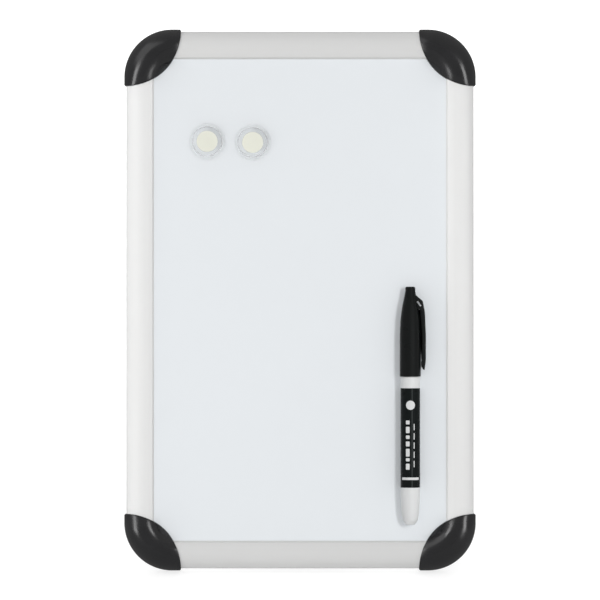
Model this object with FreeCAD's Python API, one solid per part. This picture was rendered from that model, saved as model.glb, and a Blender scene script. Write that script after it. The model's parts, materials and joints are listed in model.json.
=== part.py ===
import FreeCAD, Part
import math
import os

# A small magnetic whiteboard that leans on a desk on its own fold-out leg, with two round
# magnets and a dry-erase marker on its face. Sizes are in millimetres, angles in degrees.
# The board is drawn upright, with its rails' back faces in the plane y = 0 and its reader
# on the -Y side, and is then leaned back as one.

# Board outline and how it stands
board_width = 196.0
board_height = 303.0
lean_angle = 15.0
leg_opening_angle = 25.0

# Section of the four rails, measured in from the outer face and out from the back face
rail_width = 15.5
rail_depth = 13.0
rail_wall = 1.3
crown_radius = 12.0
crest_inset = 9.0
crown_inset = 14.3
shoulder_rounding = 2.0
lip_thickness = 1.0
slot_inset = 5.2
rear_flange_inset = 12.0

# Sandwich panel: steel writing sheet, hardboard core, backing sheet
writing_sheet_thickness = 0.4
core_thickness = 4.1
backing_thickness = 0.5
panel_edge_gap = 0.2
panel_face_gap = 0.1

# Corner caps
cap_overhang = 1.2
cap_reach = 30.8
cap_outer_radius = 27.0
rail_setback = 22.0
cap_fit_gap = 0.1
cap_tip_rise = 0.9
cap_middle_rise = 3.4
cap_edge_height = 9.4
cap_edge_rise_share = 0.35
cap_hollow_side_share = 0.97
cap_sections = 9
cap_end_turn = 14.0
cap_section_margin = 0.6
cap_outer_rounding = 0.6
cap_tip_rounding = 0.9
spigot_length = 9.0
spigot_gap = 0.15
spigot_root = 1.0
pocket_inner_wall = 0.9
pocket_outer_wall = 1.8
pocket_roof_wall = 1.0
pocket_end_wall = 1.5
pocket_rib = 1.2
pocket_rib_angles = (30.0, 60.0)

# Hinge bracket on the back, with a keyhole for hanging
hinge_height = 205.0
bracket_width = 68.0
bracket_below_hinge = 11.0
bracket_above_hinge = 35.0
bracket_corner_radius = 5.0
bracket_plate = 2.0
ear_thickness = 4.0
ear_radius = 3.8
hanger_width = 22.0
hanger_below = 11.0
hanger_above = 33.0
hanger_height = 5.2
hanger_wall = 2.0
hanger_side_wall = 3.0
hanger_chamfer = 1.0
keyhole_entry_radius = 4.5
keyhole_entry_above = 18.0
keyhole_slot_width = 4.5
keyhole_slot_above = 26.0
screw_edge_inset = 5.5
screw_head_radius = 2.9
screw_head_height = 1.7
screw_shank_radius = 1.4
screw_depth = 3.0
screw_hole_gap = 0.05

# Hinge pin and its push-on washer
pin_radius = 1.5
pin_hole_gap = 0.05
pin_head_radius = 2.7
pin_head_length = 1.0
pin_end_length = 1.8
washer_radius = 3.0
washer_thickness = 0.8
washer_gap = 0.1

# Easel leg
knuckle_radius = 3.2
knuckle_gap = 0.3
knuckle_length = 38.2
ear_side_gap = 0.4
heel_height = 7.5
heel_depth = 4.6
heel_stop_gap = 0.05
leg_thickness = 4.0
leg_skin = 1.6
leg_rim = 2.2
leg_rib = 1.5
leg_cross_ribs = 5
leg_foot_width = 62.0
leg_taper_start = 12.0
leg_seat_height = 1.8
leg_edge_rounding = 0.7

# Rubber foot pad under the leg
pad_height = 5.0
pad_inner_depth = 3.4
pad_outer_depth = 4.8
pad_side_wall = 1.6
pad_corner_radius = 2.4

# Round magnets: clear housing, ferrite disc, cream cover disc
magnet_flange_radius = 10.2
magnet_flange_thickness = 1.0
magnet_flange_chamfer = 0.4
magnet_body_radius = 8.3
magnet_body_draft = 0.4
magnet_height = 6.4
magnet_top_rounding = 1.6
magnet_pocket_radius = 6.0
magnet_roof = 1.5
ferrite_radius = 5.9
ferrite_thickness = 3.2
cover_thickness = 0.8
magnet_seat_gap = 0.05
left_magnet_side_inset = 45.6
left_magnet_top_inset = 62.0
right_magnet_side_inset = 71.3
right_magnet_top_inset = 62.6

# Marker: lengths run from its lower end
marker_side_inset = 35.8
marker_foot = 26.0
marker_face_gap = 0.25
marker_length = 134.2
barrel_radius = 5.5
barrel_bore_radius = 4.3
label_thickness = 0.15
label_start = 21.0
label_end = 77.0
tail_flat_radius = 2.5
tail_turn_radius = 5.0
tail_turn_length = 7.0
tail_bulge_radius = 4.2
tail_bulge_length = 2.9
tail_taper_length = 16.0
barrel_bore_start = 17.0
section_shoulder = 83.3
section_spigot_length = 7.0
section_fit_gap = 0.05
neck_radius = 4.3
neck_end = 95.0
neck_cone_end = 101.0
neck_tip_radius = 2.6
nib_radius = 1.9
nib_end = 106.0
nib_tip_rounding = 1.4
nib_stem_gap = 0.05
reservoir_gap = 0.1
reservoir_start = 32.0
reservoir_end = 69.5
reservoir_bite = 1.5
tail_magnet_radius = 4.2
tail_magnet_length = 13.0

# Marker cap and clip
cap_mouth = 83.6
cap_radius = 5.93
cap_bore_radius = 5.0
cap_bore_end = 112.5
cap_barrel_end = 106.8
cap_shoulder_start = 119.6
cap_shoulder_radius = 5.4
cap_shoulder_bulge_radius = 4.65
cap_shoulder_bulge = 124.4
cap_button_start = 128.6
cap_button_radius = 3.05
cap_button_rounding = 0.6
liner_start = 86.0
liner_end = 112.0
liner_bore_radius = 4.35
liner_gap = 0.05
liner_roof = 1.0
clip_width = 4.6
clip_root_top = 130.2
clip_root_inset = 2.2
clip_elbow = 126.2
clip_elbow_radius = 7.0
clip_shoulder = 119.8
clip_shoulder_radius = 8.2
clip_belly_radius = 8.76
clip_belly_top = 106.8
clip_belly_foot = 92.7
clip_tip = 86.4
clip_tip_radius = 7.9
clip_thickness = 2.1
clip_slit_top = 121.5
clip_hook_top = 92.1
clip_hook_foot = 89.4
clip_hook_gap = 0.2
clip_window_width = 1.0
clip_window_length = 3.4
clip_window_height = 124.6
clip_window_radius = 4.9
clip_window_angle = 35.0

# One overrun serves every cut, and one tolerance finds edges by their place
overrun = 60.0
place_tolerance = 0.02

# Levels and places worked out from the sizes above
half_width = board_width / 2
board_top = cap_overhang + board_height
board_middle = cap_overhang + board_height / 2
crown_centre = rail_depth - crown_radius
backing_back = rail_wall + panel_face_gap
core_back = backing_back + backing_thickness
core_front = core_back + core_thickness
writing_face = core_front + writing_sheet_thickness
slot_front = writing_face + panel_face_gap
lip_front = slot_front + lip_thickness
panel_inset = slot_inset + panel_edge_gap
cap_centre = cap_outer_radius - cap_overhang
plate_outer = bracket_plate - backing_back
hinge_out = plate_outer + knuckle_gap + knuckle_radius
pin_hole_radius = pin_radius + pin_hole_gap
ear_inner = knuckle_length / 2 + ear_side_gap
ear_outer = ear_inner + ear_thickness
marker_across = half_width - marker_side_inset
marker_out = writing_face + marker_face_gap + cap_radius
sleeve_seat_radius = barrel_radius - label_thickness

across_axis = FreeCAD.Vector(1, 0, 0)
back_axis = FreeCAD.Vector(0, 1, 0)
up_axis = FreeCAD.Vector(0, 0, 1)
desk_edge = FreeCAD.Vector(0, cap_overhang, 0)


def board_point(across, up, out):
    """A point across and up the board, and out towards the reader from the back plane."""
    return FreeCAD.Vector(across, -out, up)


def outline(corners):
    """A flat face from corners in order, where a pair is an arc's middle point and its end."""
    edges = []
    here = corners[0]
    for corner in corners[1:] + corners[:1]:
        if isinstance(corner, tuple):
            middle, end = corner
            edges.append(Part.Arc(here, middle, end).toShape())
        else:
            end = corner
            if end != here:
                edges.append(Part.LineSegment(here, end).toShape())
        here = end
    return Part.Face(Part.Wire(edges))


def board_plane(out):
    """Places flat outlines in a plane at a level out from the board's back."""
    return lambda across, up: board_point(across, up, out)


def rounded_rectangle(place, left, right, low, high, radius):
    """A flat face with four equal round corners."""
    bend = radius * (1 - math.sqrt(0.5))
    return outline([
        place(left + radius, low),
        place(right - radius, low),
        (place(right - bend, low + bend), place(right, low + radius)),
        place(right, high - radius),
        (place(right - bend, high - bend), place(right - radius, high)),
        place(left + radius, high),
        (place(left + bend, high - bend), place(left, high - radius)),
        place(left, low + radius),
        (place(left + bend, low + bend), place(left + radius, low)),
    ])


def block(across, up, out):
    """A box from three (low, high) pairs in board directions."""
    corner = board_point(across[0], up[0], out[1])
    return Part.makeBox(across[1] - across[0], out[1] - out[0], up[1] - up[0], corner)


def round_bar(radius, across, up, back, front):
    """A cylinder square to the board, from one level to another."""
    return Part.makeCylinder(radius, front - back, board_point(across, up, back), -back_axis)


def cross_bar(radius, start, end):
    """A cylinder along the hinge line, from one side to the other."""
    base = FreeCAD.Vector(start, hinge_out, hinge_height)
    return Part.makeCylinder(radius, end - start, base, across_axis)


def edges_where(shape, wanted):
    """The edges whose every end and middle point passes a test."""
    found = []
    for edge in shape.Edges:
        first, last = edge.ParameterRange
        points = [edge.valueAt(first), edge.valueAt((first + last) / 2), edge.valueAt(last)]
        if all(wanted(point) for point in points):
            found.append(edge)
    return found


def near(value, target):
    """True where two lengths agree to the tolerance."""
    return abs(value - target) < place_tolerance


def crown_height(inset, radius):
    """Height of the convex front of a rail, or of a cap over it, at an inset."""
    return crown_centre + math.sqrt(radius ** 2 - (inset - crest_inset) ** 2)


def rail_section(place):
    """Outline of the extruded rail: outer wall, crown, lip, panel slot and rear flange."""
    return outline([
        place(0, 0),
        place(0, crown_height(0, crown_radius)),
        (place(crest_inset, rail_depth), place(crown_inset, crown_height(crown_inset, crown_radius))),
        place(crown_inset, lip_front),
        place(rail_width, lip_front),
        place(rail_width, slot_front),
        place(slot_inset, slot_front),
        place(slot_inset, rail_wall),
        place(rear_flange_inset, rail_wall),
        place(rear_flange_inset, 0),
    ])


def chamber_section(place, gap):
    """Outline of the hollow under the crown, drawn in by a gap for what fits inside it."""
    radius = crown_radius - rail_wall - gap
    low = slot_front + rail_wall + gap
    near_side = rail_wall + gap
    far_side = crown_inset - rail_wall - gap
    return outline([
        place(near_side, low),
        place(near_side, crown_height(near_side, radius)),
        (place(crest_inset, crown_centre + radius), place(far_side, crown_height(far_side, radius))),
        place(far_side, low),
    ])


def channel_section(place):
    """Outline of the small square hollow beside the panel slot."""
    far_side = slot_inset - rail_wall
    return outline([
        place(rail_wall, rail_wall),
        place(rail_wall, slot_front),
        place(far_side, slot_front),
        place(far_side, rail_wall),
    ])


def envelope_section(place):
    """Outline that takes in the whole rail with the fit gap all round."""
    radius = crown_radius + cap_fit_gap
    far_side = crown_inset + cap_fit_gap
    return outline([
        place(-cap_fit_gap, -cap_fit_gap),
        place(-cap_fit_gap, crown_height(-cap_fit_gap, radius)),
        (place(crest_inset, crown_centre + radius), place(far_side, crown_height(far_side, radius))),
        place(far_side, lip_front + cap_fit_gap),
        place(rail_width + cap_fit_gap, lip_front + cap_fit_gap),
        place(rail_width + cap_fit_gap, -cap_fit_gap),
    ])


def side_place(up):
    """Places a section of the left rail at a height up the board."""
    return lambda inset, out: board_point(inset - half_width, cap_overhang + up, out)


def foot_place(along):
    """Places a section of the bottom rail at a distance from the board's left corner."""
    return lambda inset, out: board_point(along - half_width, cap_overhang + inset, out)


def foot_plan(out):
    """Places an outline in the board's plane, measured from the rails' bottom left corner."""
    return lambda along, up: board_point(along - half_width, cap_overhang + up, out)


def mirrored_across(shape):
    """The same shape on the other side of the board's middle."""
    return shape.mirror(board_point(0, 0, 0), across_axis)


def mirrored_up(shape):
    """The same shape at the other end of the board."""
    return shape.mirror(board_point(0, board_middle, 0), up_axis)


def make_rail(place, direction, length):
    """A hollow extruded rail, square cut, with its outer shoulder rounded."""
    run = direction * (length - 2 * rail_setback)
    rail = rail_section(place).extrude(run)
    shoulder = place(0, crown_height(0, crown_radius))
    edges = edges_where(rail, lambda point: near((point - shoulder).cross(direction).Length, 0))
    rail = rail.makeFillet(shoulder_rounding, edges)
    rail = rail.cut(chamber_section(place, 0).extrude(run))
    return rail.cut(channel_section(place).extrude(run))


def make_left_rail():
    return make_rail(side_place(rail_setback), up_axis, board_height)


def make_bottom_rail():
    return make_rail(foot_place(rail_setback), across_axis, board_width)


def panel_layer(back, front, spread):
    """A sheet of the panel, with corners rounded about the caps' own centres."""
    side = half_width - panel_inset + spread
    low = cap_overhang + panel_inset - spread
    high = board_top - panel_inset + spread
    radius = cap_centre - panel_inset + spread
    face = rounded_rectangle(board_plane(back), -side, side, low, high, radius)
    return face.extrude(-back_axis * (front - back))


def screw_places():
    """Centres of the four bracket screws, across and up the board."""
    side = bracket_width / 2 - screw_edge_inset
    low = hinge_height - bracket_below_hinge + screw_edge_inset
    high = hinge_height + bracket_above_hinge - screw_edge_inset
    return [(across, up) for across in (-side, side) for up in (low, high)]


def drilled(shape, radius):
    """A shape with the four screw holes through it, no deeper than the screws go."""
    deepest = backing_back + screw_depth + screw_hole_gap
    for across, up in screw_places():
        shape = shape.cut(round_bar(radius, across, up, -overrun, deepest))
    return shape


def make_writing_sheet():
    return panel_layer(core_front, writing_face, 0)


def make_core_board():
    return drilled(panel_layer(core_back, core_front, 0), screw_shank_radius + screw_hole_gap)


def make_backing_sheet():
    return drilled(panel_layer(backing_back, core_back, 0), screw_shank_radius + screw_hole_gap)


def cap_section(turn):
    """Section of a cap's dome at a turn about its centre, from the side rail to the foot rail.

    The crest follows the rails' crest, low at both tips and highest in the middle.
    """
    beyond = max(0, -turn, turn - 90)
    stretch = 1 / math.cos(math.radians(beyond))
    tip_turn = math.degrees(math.atan((cap_reach - cap_centre) / cap_outer_radius))
    share = (turn + tip_turn) / (90 + 2 * tip_turn)
    swell = (cap_middle_rise - cap_tip_rise) * math.sin(math.pi * share)
    crest = rail_depth + cap_tip_rise + swell
    fall = crest - cap_edge_height - cap_edge_rise_share * swell
    crest_reach = (cap_centre - crest_inset) * stretch
    run = cap_outer_radius * stretch - crest_reach
    radius = (run ** 2 + fall ** 2) / (2 * fall)
    outer = run + cap_section_margin
    inner = -cap_hollow_side_share * radius
    base = -cap_overhang - cap_section_margin
    away = math.radians(turn)

    def place(from_crest, out):
        reach = crest_reach + from_crest
        return board_point(cap_centre - half_width - reach * math.cos(away),
                           cap_overhang + cap_centre - reach * math.sin(away), out)

    def crown(from_crest):
        return crest - radius + math.sqrt(radius ** 2 - from_crest ** 2)

    return outline([
        place(outer, base),
        place(outer, crown(outer)),
        (place(0, crest), place(inner, crown(inner))),
        place(inner, base),
    ]).OuterWire


def cap_leaf():
    """The cap's plan as a tall block: round outer corner and round front edge."""
    far = cap_reach + overrun
    bend = cap_centre - cap_outer_radius * math.sqrt(0.5)
    place = foot_plan(-cap_overhang)
    corner = outline([
        place(cap_centre, -cap_overhang),
        place(far, -cap_overhang),
        place(far, far),
        place(-cap_overhang, far),
        place(-cap_overhang, cap_centre),
        (place(bend, bend), place(cap_centre, -cap_overhang)),
    ]).extrude(-back_axis * overrun)
    return corner.common(round_bar(cap_reach, -half_width, cap_overhang, -overrun, overrun))


def cap_blank():
    """The domed leaf, lofted round the cap's centre and trimmed to its plan."""
    step = (90 + 2 * cap_end_turn) / (cap_sections - 1)
    sections = [cap_section(step * number - cap_end_turn) for number in range(cap_sections)]
    return Part.makeLoft(sections, True, False).common(cap_leaf())


def cap_rounded(cap):
    """Takes the sharpness off the cap's upright tips and its outer rim."""
    corner = board_point(-half_width, cap_overhang, 0)

    def reach(point):
        return math.hypot(point.x - corner.x, point.z - corner.z)

    def on_tip(point):
        low = min(point.x - corner.x, point.z - corner.z)
        return near(reach(point), cap_reach) and near(low, -cap_overhang)

    cap = cap.makeFillet(cap_tip_rounding, edges_where(cap, on_tip))
    on_rim = edges_where(cap, lambda point: -point.y > cap_edge_height / 2 and reach(point) < cap_reach)
    return cap.makeFillet(cap_outer_rounding, on_rim)


def cap_pocket():
    """The moulding's cored hollow behind the outer wall, open at the back, with two ribs."""
    pivot_across = cap_centre - half_width
    pivot_up = cap_overhang + cap_centre
    inner = cap_centre - panel_inset + cap_fit_gap + pocket_inner_wall
    outer = cap_outer_radius - pocket_outer_wall
    roof = crown_height(cap_centre - outer, crown_radius) - pocket_roof_wall
    end = rail_setback - pocket_end_wall
    ring = round_bar(outer, pivot_across, pivot_up, -overrun, roof)
    ring = ring.cut(round_bar(inner, pivot_across, pivot_up, -overrun, roof))
    depth = (-overrun, overrun)
    ring = ring.common(block((-half_width - overrun, end - half_width),
                             (cap_overhang - overrun, cap_overhang + end), depth))
    for angle in pocket_rib_angles:
        rib = block((pivot_across - overrun, pivot_across),
                    (pivot_up - pocket_rib / 2, pivot_up + pocket_rib / 2), depth)
        rib.rotate(board_point(pivot_across, pivot_up, 0), -back_axis, angle)
        ring = ring.cut(rib)
    return ring


def make_corner_cap():
    """The bottom left cap: dome, rail sockets, panel slot, cored back and two spigots."""
    cap = cap_rounded(cap_blank())
    start = rail_setback - cap_fit_gap
    cap = cap.cut(envelope_section(side_place(start)).extrude(up_axis * overrun))
    cap = cap.cut(envelope_section(foot_place(start)).extrude(across_axis * overrun))
    cap = cap.cut(panel_layer(rail_wall, slot_front, cap_fit_gap))
    cap = cap.cut(cap_pocket())
    root = rail_setback - spigot_root
    length = spigot_length + spigot_root
    cap = cap.fuse(chamber_section(side_place(root), spigot_gap).extrude(up_axis * length))
    cap = cap.fuse(chamber_section(foot_place(root), spigot_gap).extrude(across_axis * length))
    return cap.removeSplitter()


def bracket_hanger():
    """The raised, hollow pad over the keyhole."""
    half = hanger_width / 2
    low = hinge_height + hanger_below
    high = hinge_height + hanger_above
    outer = hanger_height - backing_back
    pad = block((-half, half), (low, high), (-outer, backing_back))
    rim = edges_where(pad, lambda point: near(point.y, outer))
    return pad.makeChamfer(hanger_chamfer, rim)


def bracket_hollow():
    """Room behind the keyhole for a hook or a screw's head, and the keyhole itself."""
    half = hanger_width / 2 - hanger_side_wall
    low = hinge_height + hanger_below + hanger_side_wall / 2
    high = hinge_height + hanger_above - hanger_side_wall / 2
    roof = hanger_height - hanger_wall - backing_back
    hollow = block((-half, half), (low, high), (-roof, overrun))
    entry_up = hinge_height + keyhole_entry_above
    slot_up = hinge_height + keyhole_slot_above
    slot_half = keyhole_slot_width / 2
    hollow = hollow.fuse(round_bar(keyhole_entry_radius, 0, entry_up, -overrun, 0))
    hollow = hollow.fuse(round_bar(slot_half, 0, slot_up, -overrun, 0))
    return hollow.fuse(block((-slot_half, slot_half), (entry_up, slot_up), (-overrun, 0)))


def bracket_ear(start):
    """One of the two ears that hold the pin, from its inner face outwards."""
    base = block((start, start + ear_thickness), (hinge_height - ear_radius, hinge_height + ear_radius),
                 (-hinge_out, backing_back))
    return base.fuse(cross_bar(ear_radius, start, start + ear_thickness))


def make_hinge_bracket():
    """Back plate with hinge ears, four screw holes and a raised keyhole hanger."""
    half = bracket_width / 2
    plate = rounded_rectangle(board_plane(backing_back), -half, half, hinge_height - bracket_below_hinge,
                              hinge_height + bracket_above_hinge, bracket_corner_radius)
    bracket = plate.extrude(back_axis * bracket_plate).fuse(bracket_hanger())
    bracket = bracket.fuse([bracket_ear(ear_inner), bracket_ear(-ear_outer)])
    bracket = bracket.cut(bracket_hollow())
    bracket = bracket.cut(cross_bar(pin_hole_radius, -overrun, overrun))
    return drilled(bracket, screw_shank_radius + screw_hole_gap).removeSplitter()


def make_bracket_screw(across, up):
    """A pan head screw with its head on the bracket and its shank in the core board."""
    head = round_bar(screw_head_radius, across, up, -plate_outer - screw_head_height, -plate_outer)
    return head.fuse(round_bar(screw_shank_radius, across, up, -plate_outer, backing_back + screw_depth))


def make_bracket_screws():
    return Part.makeCompound([make_bracket_screw(across, up) for across, up in screw_places()])


def make_hinge_pin():
    """A headed steel pin through both ears and the leg's knuckle."""
    pin = cross_bar(pin_radius, -ear_outer, ear_outer + pin_end_length)
    return pin.fuse(cross_bar(pin_head_radius, -ear_outer - pin_head_length, -ear_outer))


def make_pin_washer():
    """The push-on washer that keeps the pin in."""
    start = ear_outer + washer_gap
    washer = cross_bar(washer_radius, start, start + washer_thickness)
    return washer.cut(cross_bar(pin_radius, start, start + washer_thickness))


def leg_outline(inset, low, high, back):
    """The leg's tapered outline at an inset from its edges, between two heights."""
    start = hinge_height - leg_taper_start
    top_half = knuckle_length / 2 - inset
    foot_half = leg_foot_width / 2 - inset
    return outline([
        board_point(-top_half, high, back),
        board_point(-top_half, start, back),
        board_point(-foot_half, low, back),
        board_point(foot_half, low, back),
        board_point(top_half, start, back),
        board_point(top_half, high, back),
    ])


def leg_plate():
    """The tapered plate, hollow towards the board, with a middle rib and cross ribs."""
    outer = hinge_out + leg_thickness / 2
    inner = hinge_out - leg_thickness / 2
    low = hinge_height - leg_length() - leg_thickness
    top = hinge_height
    hollow_top = hinge_height - knuckle_radius - leg_rim
    plate = leg_outline(0, low, top, -outer).extrude(-back_axis * leg_thickness)
    edges = edges_where(plate, lambda point: near(point.y, outer) and point.z < top)
    plate = plate.makeFillet(leg_edge_rounding, edges)
    floor = outer - leg_skin
    hollow = leg_outline(leg_rim, low + leg_thickness, hollow_top, -floor)
    hollow = hollow.extrude(-back_axis * (floor - inner))
    depth = (-outer, -inner)
    half_rib = leg_rib / 2
    ribs = [block((-half_rib, half_rib), (low, hollow_top), depth)]
    for rib in range(leg_cross_ribs):
        up = hollow_top - (hollow_top - low) * (rib + 1) / (leg_cross_ribs + 1)
        ribs.append(block((-leg_foot_width, leg_foot_width), (up - half_rib, up + half_rib), depth))
    return plate.cut(hollow.cut(ribs))


def hinge_rise():
    """Height of the hinge line over the desk once the board leans."""
    lean = math.radians(lean_angle)
    return hinge_height * math.cos(lean) - (hinge_out - cap_overhang) * math.sin(lean)


def leg_length():
    """Length from the hinge line to the desk along the opened leg."""
    return hinge_rise() / math.cos(math.radians(leg_opening_angle - lean_angle))


def stood(shape):
    """A shape of the upright board, leaned back about the caps' lower back edge."""
    shape = shape.copy()
    shape.rotate(desk_edge, across_axis, -lean_angle)
    return shape


def make_easel_leg():
    """The opened leg: ribbed plate, knuckle and the heel that stops it on the bracket."""
    leg = leg_plate()
    leg.rotate(FreeCAD.Vector(0, hinge_out, hinge_height), across_axis, leg_opening_angle)
    half = knuckle_length / 2
    heel = block((-half, half), (hinge_height, hinge_height + heel_height),
                 (-plate_outer - heel_stop_gap - heel_depth, -plate_outer - heel_stop_gap))
    leg = leg.fuse([cross_bar(knuckle_radius, -half, half), heel])
    leg = stood(leg.cut(cross_bar(pin_hole_radius, -overrun, overrun)))
    below = Part.makeBox(2 * board_width, 2 * board_height, overrun,
                         FreeCAD.Vector(-board_width, -board_height, leg_seat_height - overrun))
    return leg.cut(below).removeSplitter()


def foot_distance():
    """How far behind the desk edge the opened leg's middle line meets the desk."""
    lean = math.radians(lean_angle)
    splay = math.radians(leg_opening_angle - lean_angle)
    hinge_back = (hinge_out - cap_overhang) * math.cos(lean) + hinge_height * math.sin(lean)
    return cap_overhang + hinge_back + hinge_rise() * math.tan(splay)


def make_leg_foot_pad(leg):
    """The rubber pad that lies flat on the desk and takes the leg's end in its socket."""
    half = leg_foot_width / 2 + pad_side_wall
    middle = foot_distance()
    face = rounded_rectangle(lambda across, back: FreeCAD.Vector(across, back, 0), -half, half,
                             middle - pad_inner_depth, middle + pad_outer_depth, pad_corner_radius)
    return face.extrude(up_axis * pad_height).cut(leg)


def make_magnet_housing(across, up):
    """Clear housing: thin flange, drafted body with a round shoulder, pocket in its back."""
    base = writing_face + magnet_seat_gap
    step = base + magnet_flange_thickness
    top = base + magnet_height
    shoulder = magnet_body_radius - magnet_top_rounding
    bend = magnet_top_rounding * math.sqrt(0.5)
    half = outline([
        board_point(across, up, base),
        board_point(across + magnet_flange_radius, up, base),
        board_point(across + magnet_flange_radius, up, step - magnet_flange_chamfer),
        board_point(across + magnet_flange_radius - magnet_flange_chamfer, up, step),
        board_point(across + magnet_body_radius + magnet_body_draft, up, step),
        board_point(across + magnet_body_radius, up, top - magnet_top_rounding),
        (board_point(across + shoulder + bend, up, top - magnet_top_rounding + bend),
         board_point(across + shoulder, up, top)),
        board_point(across, up, top),
    ])
    housing = half.revolve(board_point(across, up, 0), back_axis, 360)
    return housing.cut(round_bar(magnet_pocket_radius, across, up, base, top - magnet_roof))


def make_magnet_cover(across, up):
    """The cream disc that shows through the housing's roof."""
    front = writing_face + magnet_seat_gap + magnet_height - magnet_roof
    return round_bar(ferrite_radius, across, up, front - cover_thickness, front)


def make_magnet_disc(across, up):
    """The ferrite disc behind the cream cover."""
    front = writing_face + magnet_seat_gap + magnet_height - magnet_roof - cover_thickness
    return round_bar(ferrite_radius, across, up, front - ferrite_thickness, front)


def marker_point(radius, along, side=0):
    """A point in the marker's lengthwise section."""
    return board_point(marker_across + radius, marker_foot + along, marker_out + side)


def turned(corners):
    """A solid of revolution about the marker's axis."""
    face = outline(corners)
    return face.revolve(marker_point(0, 0), up_axis, 360)


def marker_rod(radius, start, end):
    """A cylinder on the marker's axis."""
    return Part.makeCylinder(radius, end - start, marker_point(0, start), up_axis)


def make_marker_barrel():
    """White barrel with a closed, tapered tail and a seat for the label sleeve."""
    outer = turned([
        marker_point(0, 0),
        marker_point(tail_flat_radius, 0),
        (marker_point(tail_bulge_radius, tail_bulge_length),
         marker_point(tail_turn_radius, tail_turn_length)),
        marker_point(barrel_radius, tail_taper_length),
        marker_point(barrel_radius, label_start),
        marker_point(sleeve_seat_radius, label_start),
        marker_point(sleeve_seat_radius, label_end),
        marker_point(0, label_end),
    ])
    return outer.cut(marker_rod(barrel_bore_radius, barrel_bore_start, label_end))


def make_marker_label():
    sleeve = marker_rod(barrel_radius, label_start, label_end)
    return sleeve.cut(marker_rod(sleeve_seat_radius, label_start, label_end))


def make_marker_front_section():
    """White collar with a spigot down into the barrel, and the neck that carries the nib."""
    spigot_radius = barrel_bore_radius - section_fit_gap
    outer = turned([
        marker_point(0, label_end - section_spigot_length),
        marker_point(spigot_radius, label_end - section_spigot_length),
        marker_point(spigot_radius, label_end),
        marker_point(barrel_radius, label_end),
        marker_point(barrel_radius, section_shoulder),
        marker_point(neck_radius, section_shoulder),
        marker_point(neck_radius, neck_end),
        marker_point(neck_tip_radius, neck_cone_end),
        marker_point(0, neck_cone_end),
    ])
    return outer.cut(marker_rod(nib_radius + nib_stem_gap, 0, marker_length))


def make_marker_nib():
    """The bullet nib, whose stem runs back through the neck to the ink reservoir."""
    nib = marker_rod(nib_radius, reservoir_end - reservoir_bite, nib_end)
    tip = edges_where(nib, lambda point: near(point.z, marker_foot + nib_end))
    return nib.makeFillet(nib_tip_rounding, tip)


def make_marker_reservoir():
    rod = marker_rod(barrel_bore_radius - reservoir_gap, reservoir_start, reservoir_end)
    return rod.cut(marker_rod(nib_radius, reservoir_end - reservoir_bite, reservoir_end))


def make_marker_magnet():
    """The small magnet in the tail that holds the marker to the steel sheet."""
    start = barrel_bore_start
    return marker_rod(tail_magnet_radius, start, start + tail_magnet_length)


def cap_body():
    """The cap's turned outside: straight skirt, long shoulder and a small end button."""
    bend = cap_button_rounding * math.sqrt(0.5)
    button_flat = cap_button_radius - cap_button_rounding
    return turned([
        marker_point(0, cap_mouth),
        marker_point(cap_radius, cap_mouth),
        marker_point(cap_radius, cap_barrel_end),
        marker_point(cap_shoulder_radius, cap_shoulder_start),
        (marker_point(cap_shoulder_bulge_radius, cap_shoulder_bulge),
         marker_point(cap_button_radius, cap_button_start)),
        marker_point(cap_button_radius, marker_length - cap_button_rounding),
        (marker_point(button_flat + bend, marker_length - cap_button_rounding + bend),
         marker_point(button_flat, marker_length)),
        marker_point(0, marker_length),
    ])


def clip_bar():
    """The pocket clip: root on the shoulder, long springing bar and an inward hook."""
    belly_inner = clip_belly_radius - clip_thickness
    side = -clip_width / 2
    face = outline([
        marker_point(0, clip_root_top, side),
        marker_point(clip_root_inset, clip_root_top, side),
        marker_point(clip_elbow_radius, clip_elbow, side),
        (marker_point(clip_shoulder_radius, clip_shoulder, side),
         marker_point(clip_belly_radius, clip_belly_top, side)),
        marker_point(clip_belly_radius, clip_belly_foot, side),
        marker_point(clip_tip_radius, clip_tip, side),
        marker_point(cap_radius + clip_hook_gap, clip_hook_foot, side),
        marker_point(cap_radius + clip_hook_gap, clip_hook_top, side),
        marker_point(belly_inner, clip_hook_top, side),
        marker_point(belly_inner, cap_barrel_end, side),
        marker_point(cap_shoulder_radius, clip_slit_top, side),
        marker_point(0, clip_slit_top, side),
    ])
    bar = face.extrude(-back_axis * clip_width)
    window = Part.makeBox(clip_window_width, overrun, clip_window_length)
    window.translate(FreeCAD.Vector(-clip_window_width / 2, -overrun / 2, -clip_window_length / 2))
    window.rotate(FreeCAD.Vector(0, 0, 0), back_axis, -clip_window_angle)
    window.translate(marker_point(clip_window_radius, clip_window_height))
    return bar, window


def make_marker_cap():
    """Black cap, hollow from its mouth, with its clip moulded on."""
    bar, window = clip_bar()
    cap = cap_body().fuse(bar).cut(window)
    return cap.cut(marker_rod(cap_bore_radius, cap_mouth, cap_bore_end)).removeSplitter()


def make_marker_cap_liner():
    """The inner cap that seals on the neck."""
    outer = marker_rod(cap_bore_radius - liner_gap, liner_start, liner_end)
    return outer.cut(marker_rod(liner_bore_radius, liner_start, liner_end - liner_roof))


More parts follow.
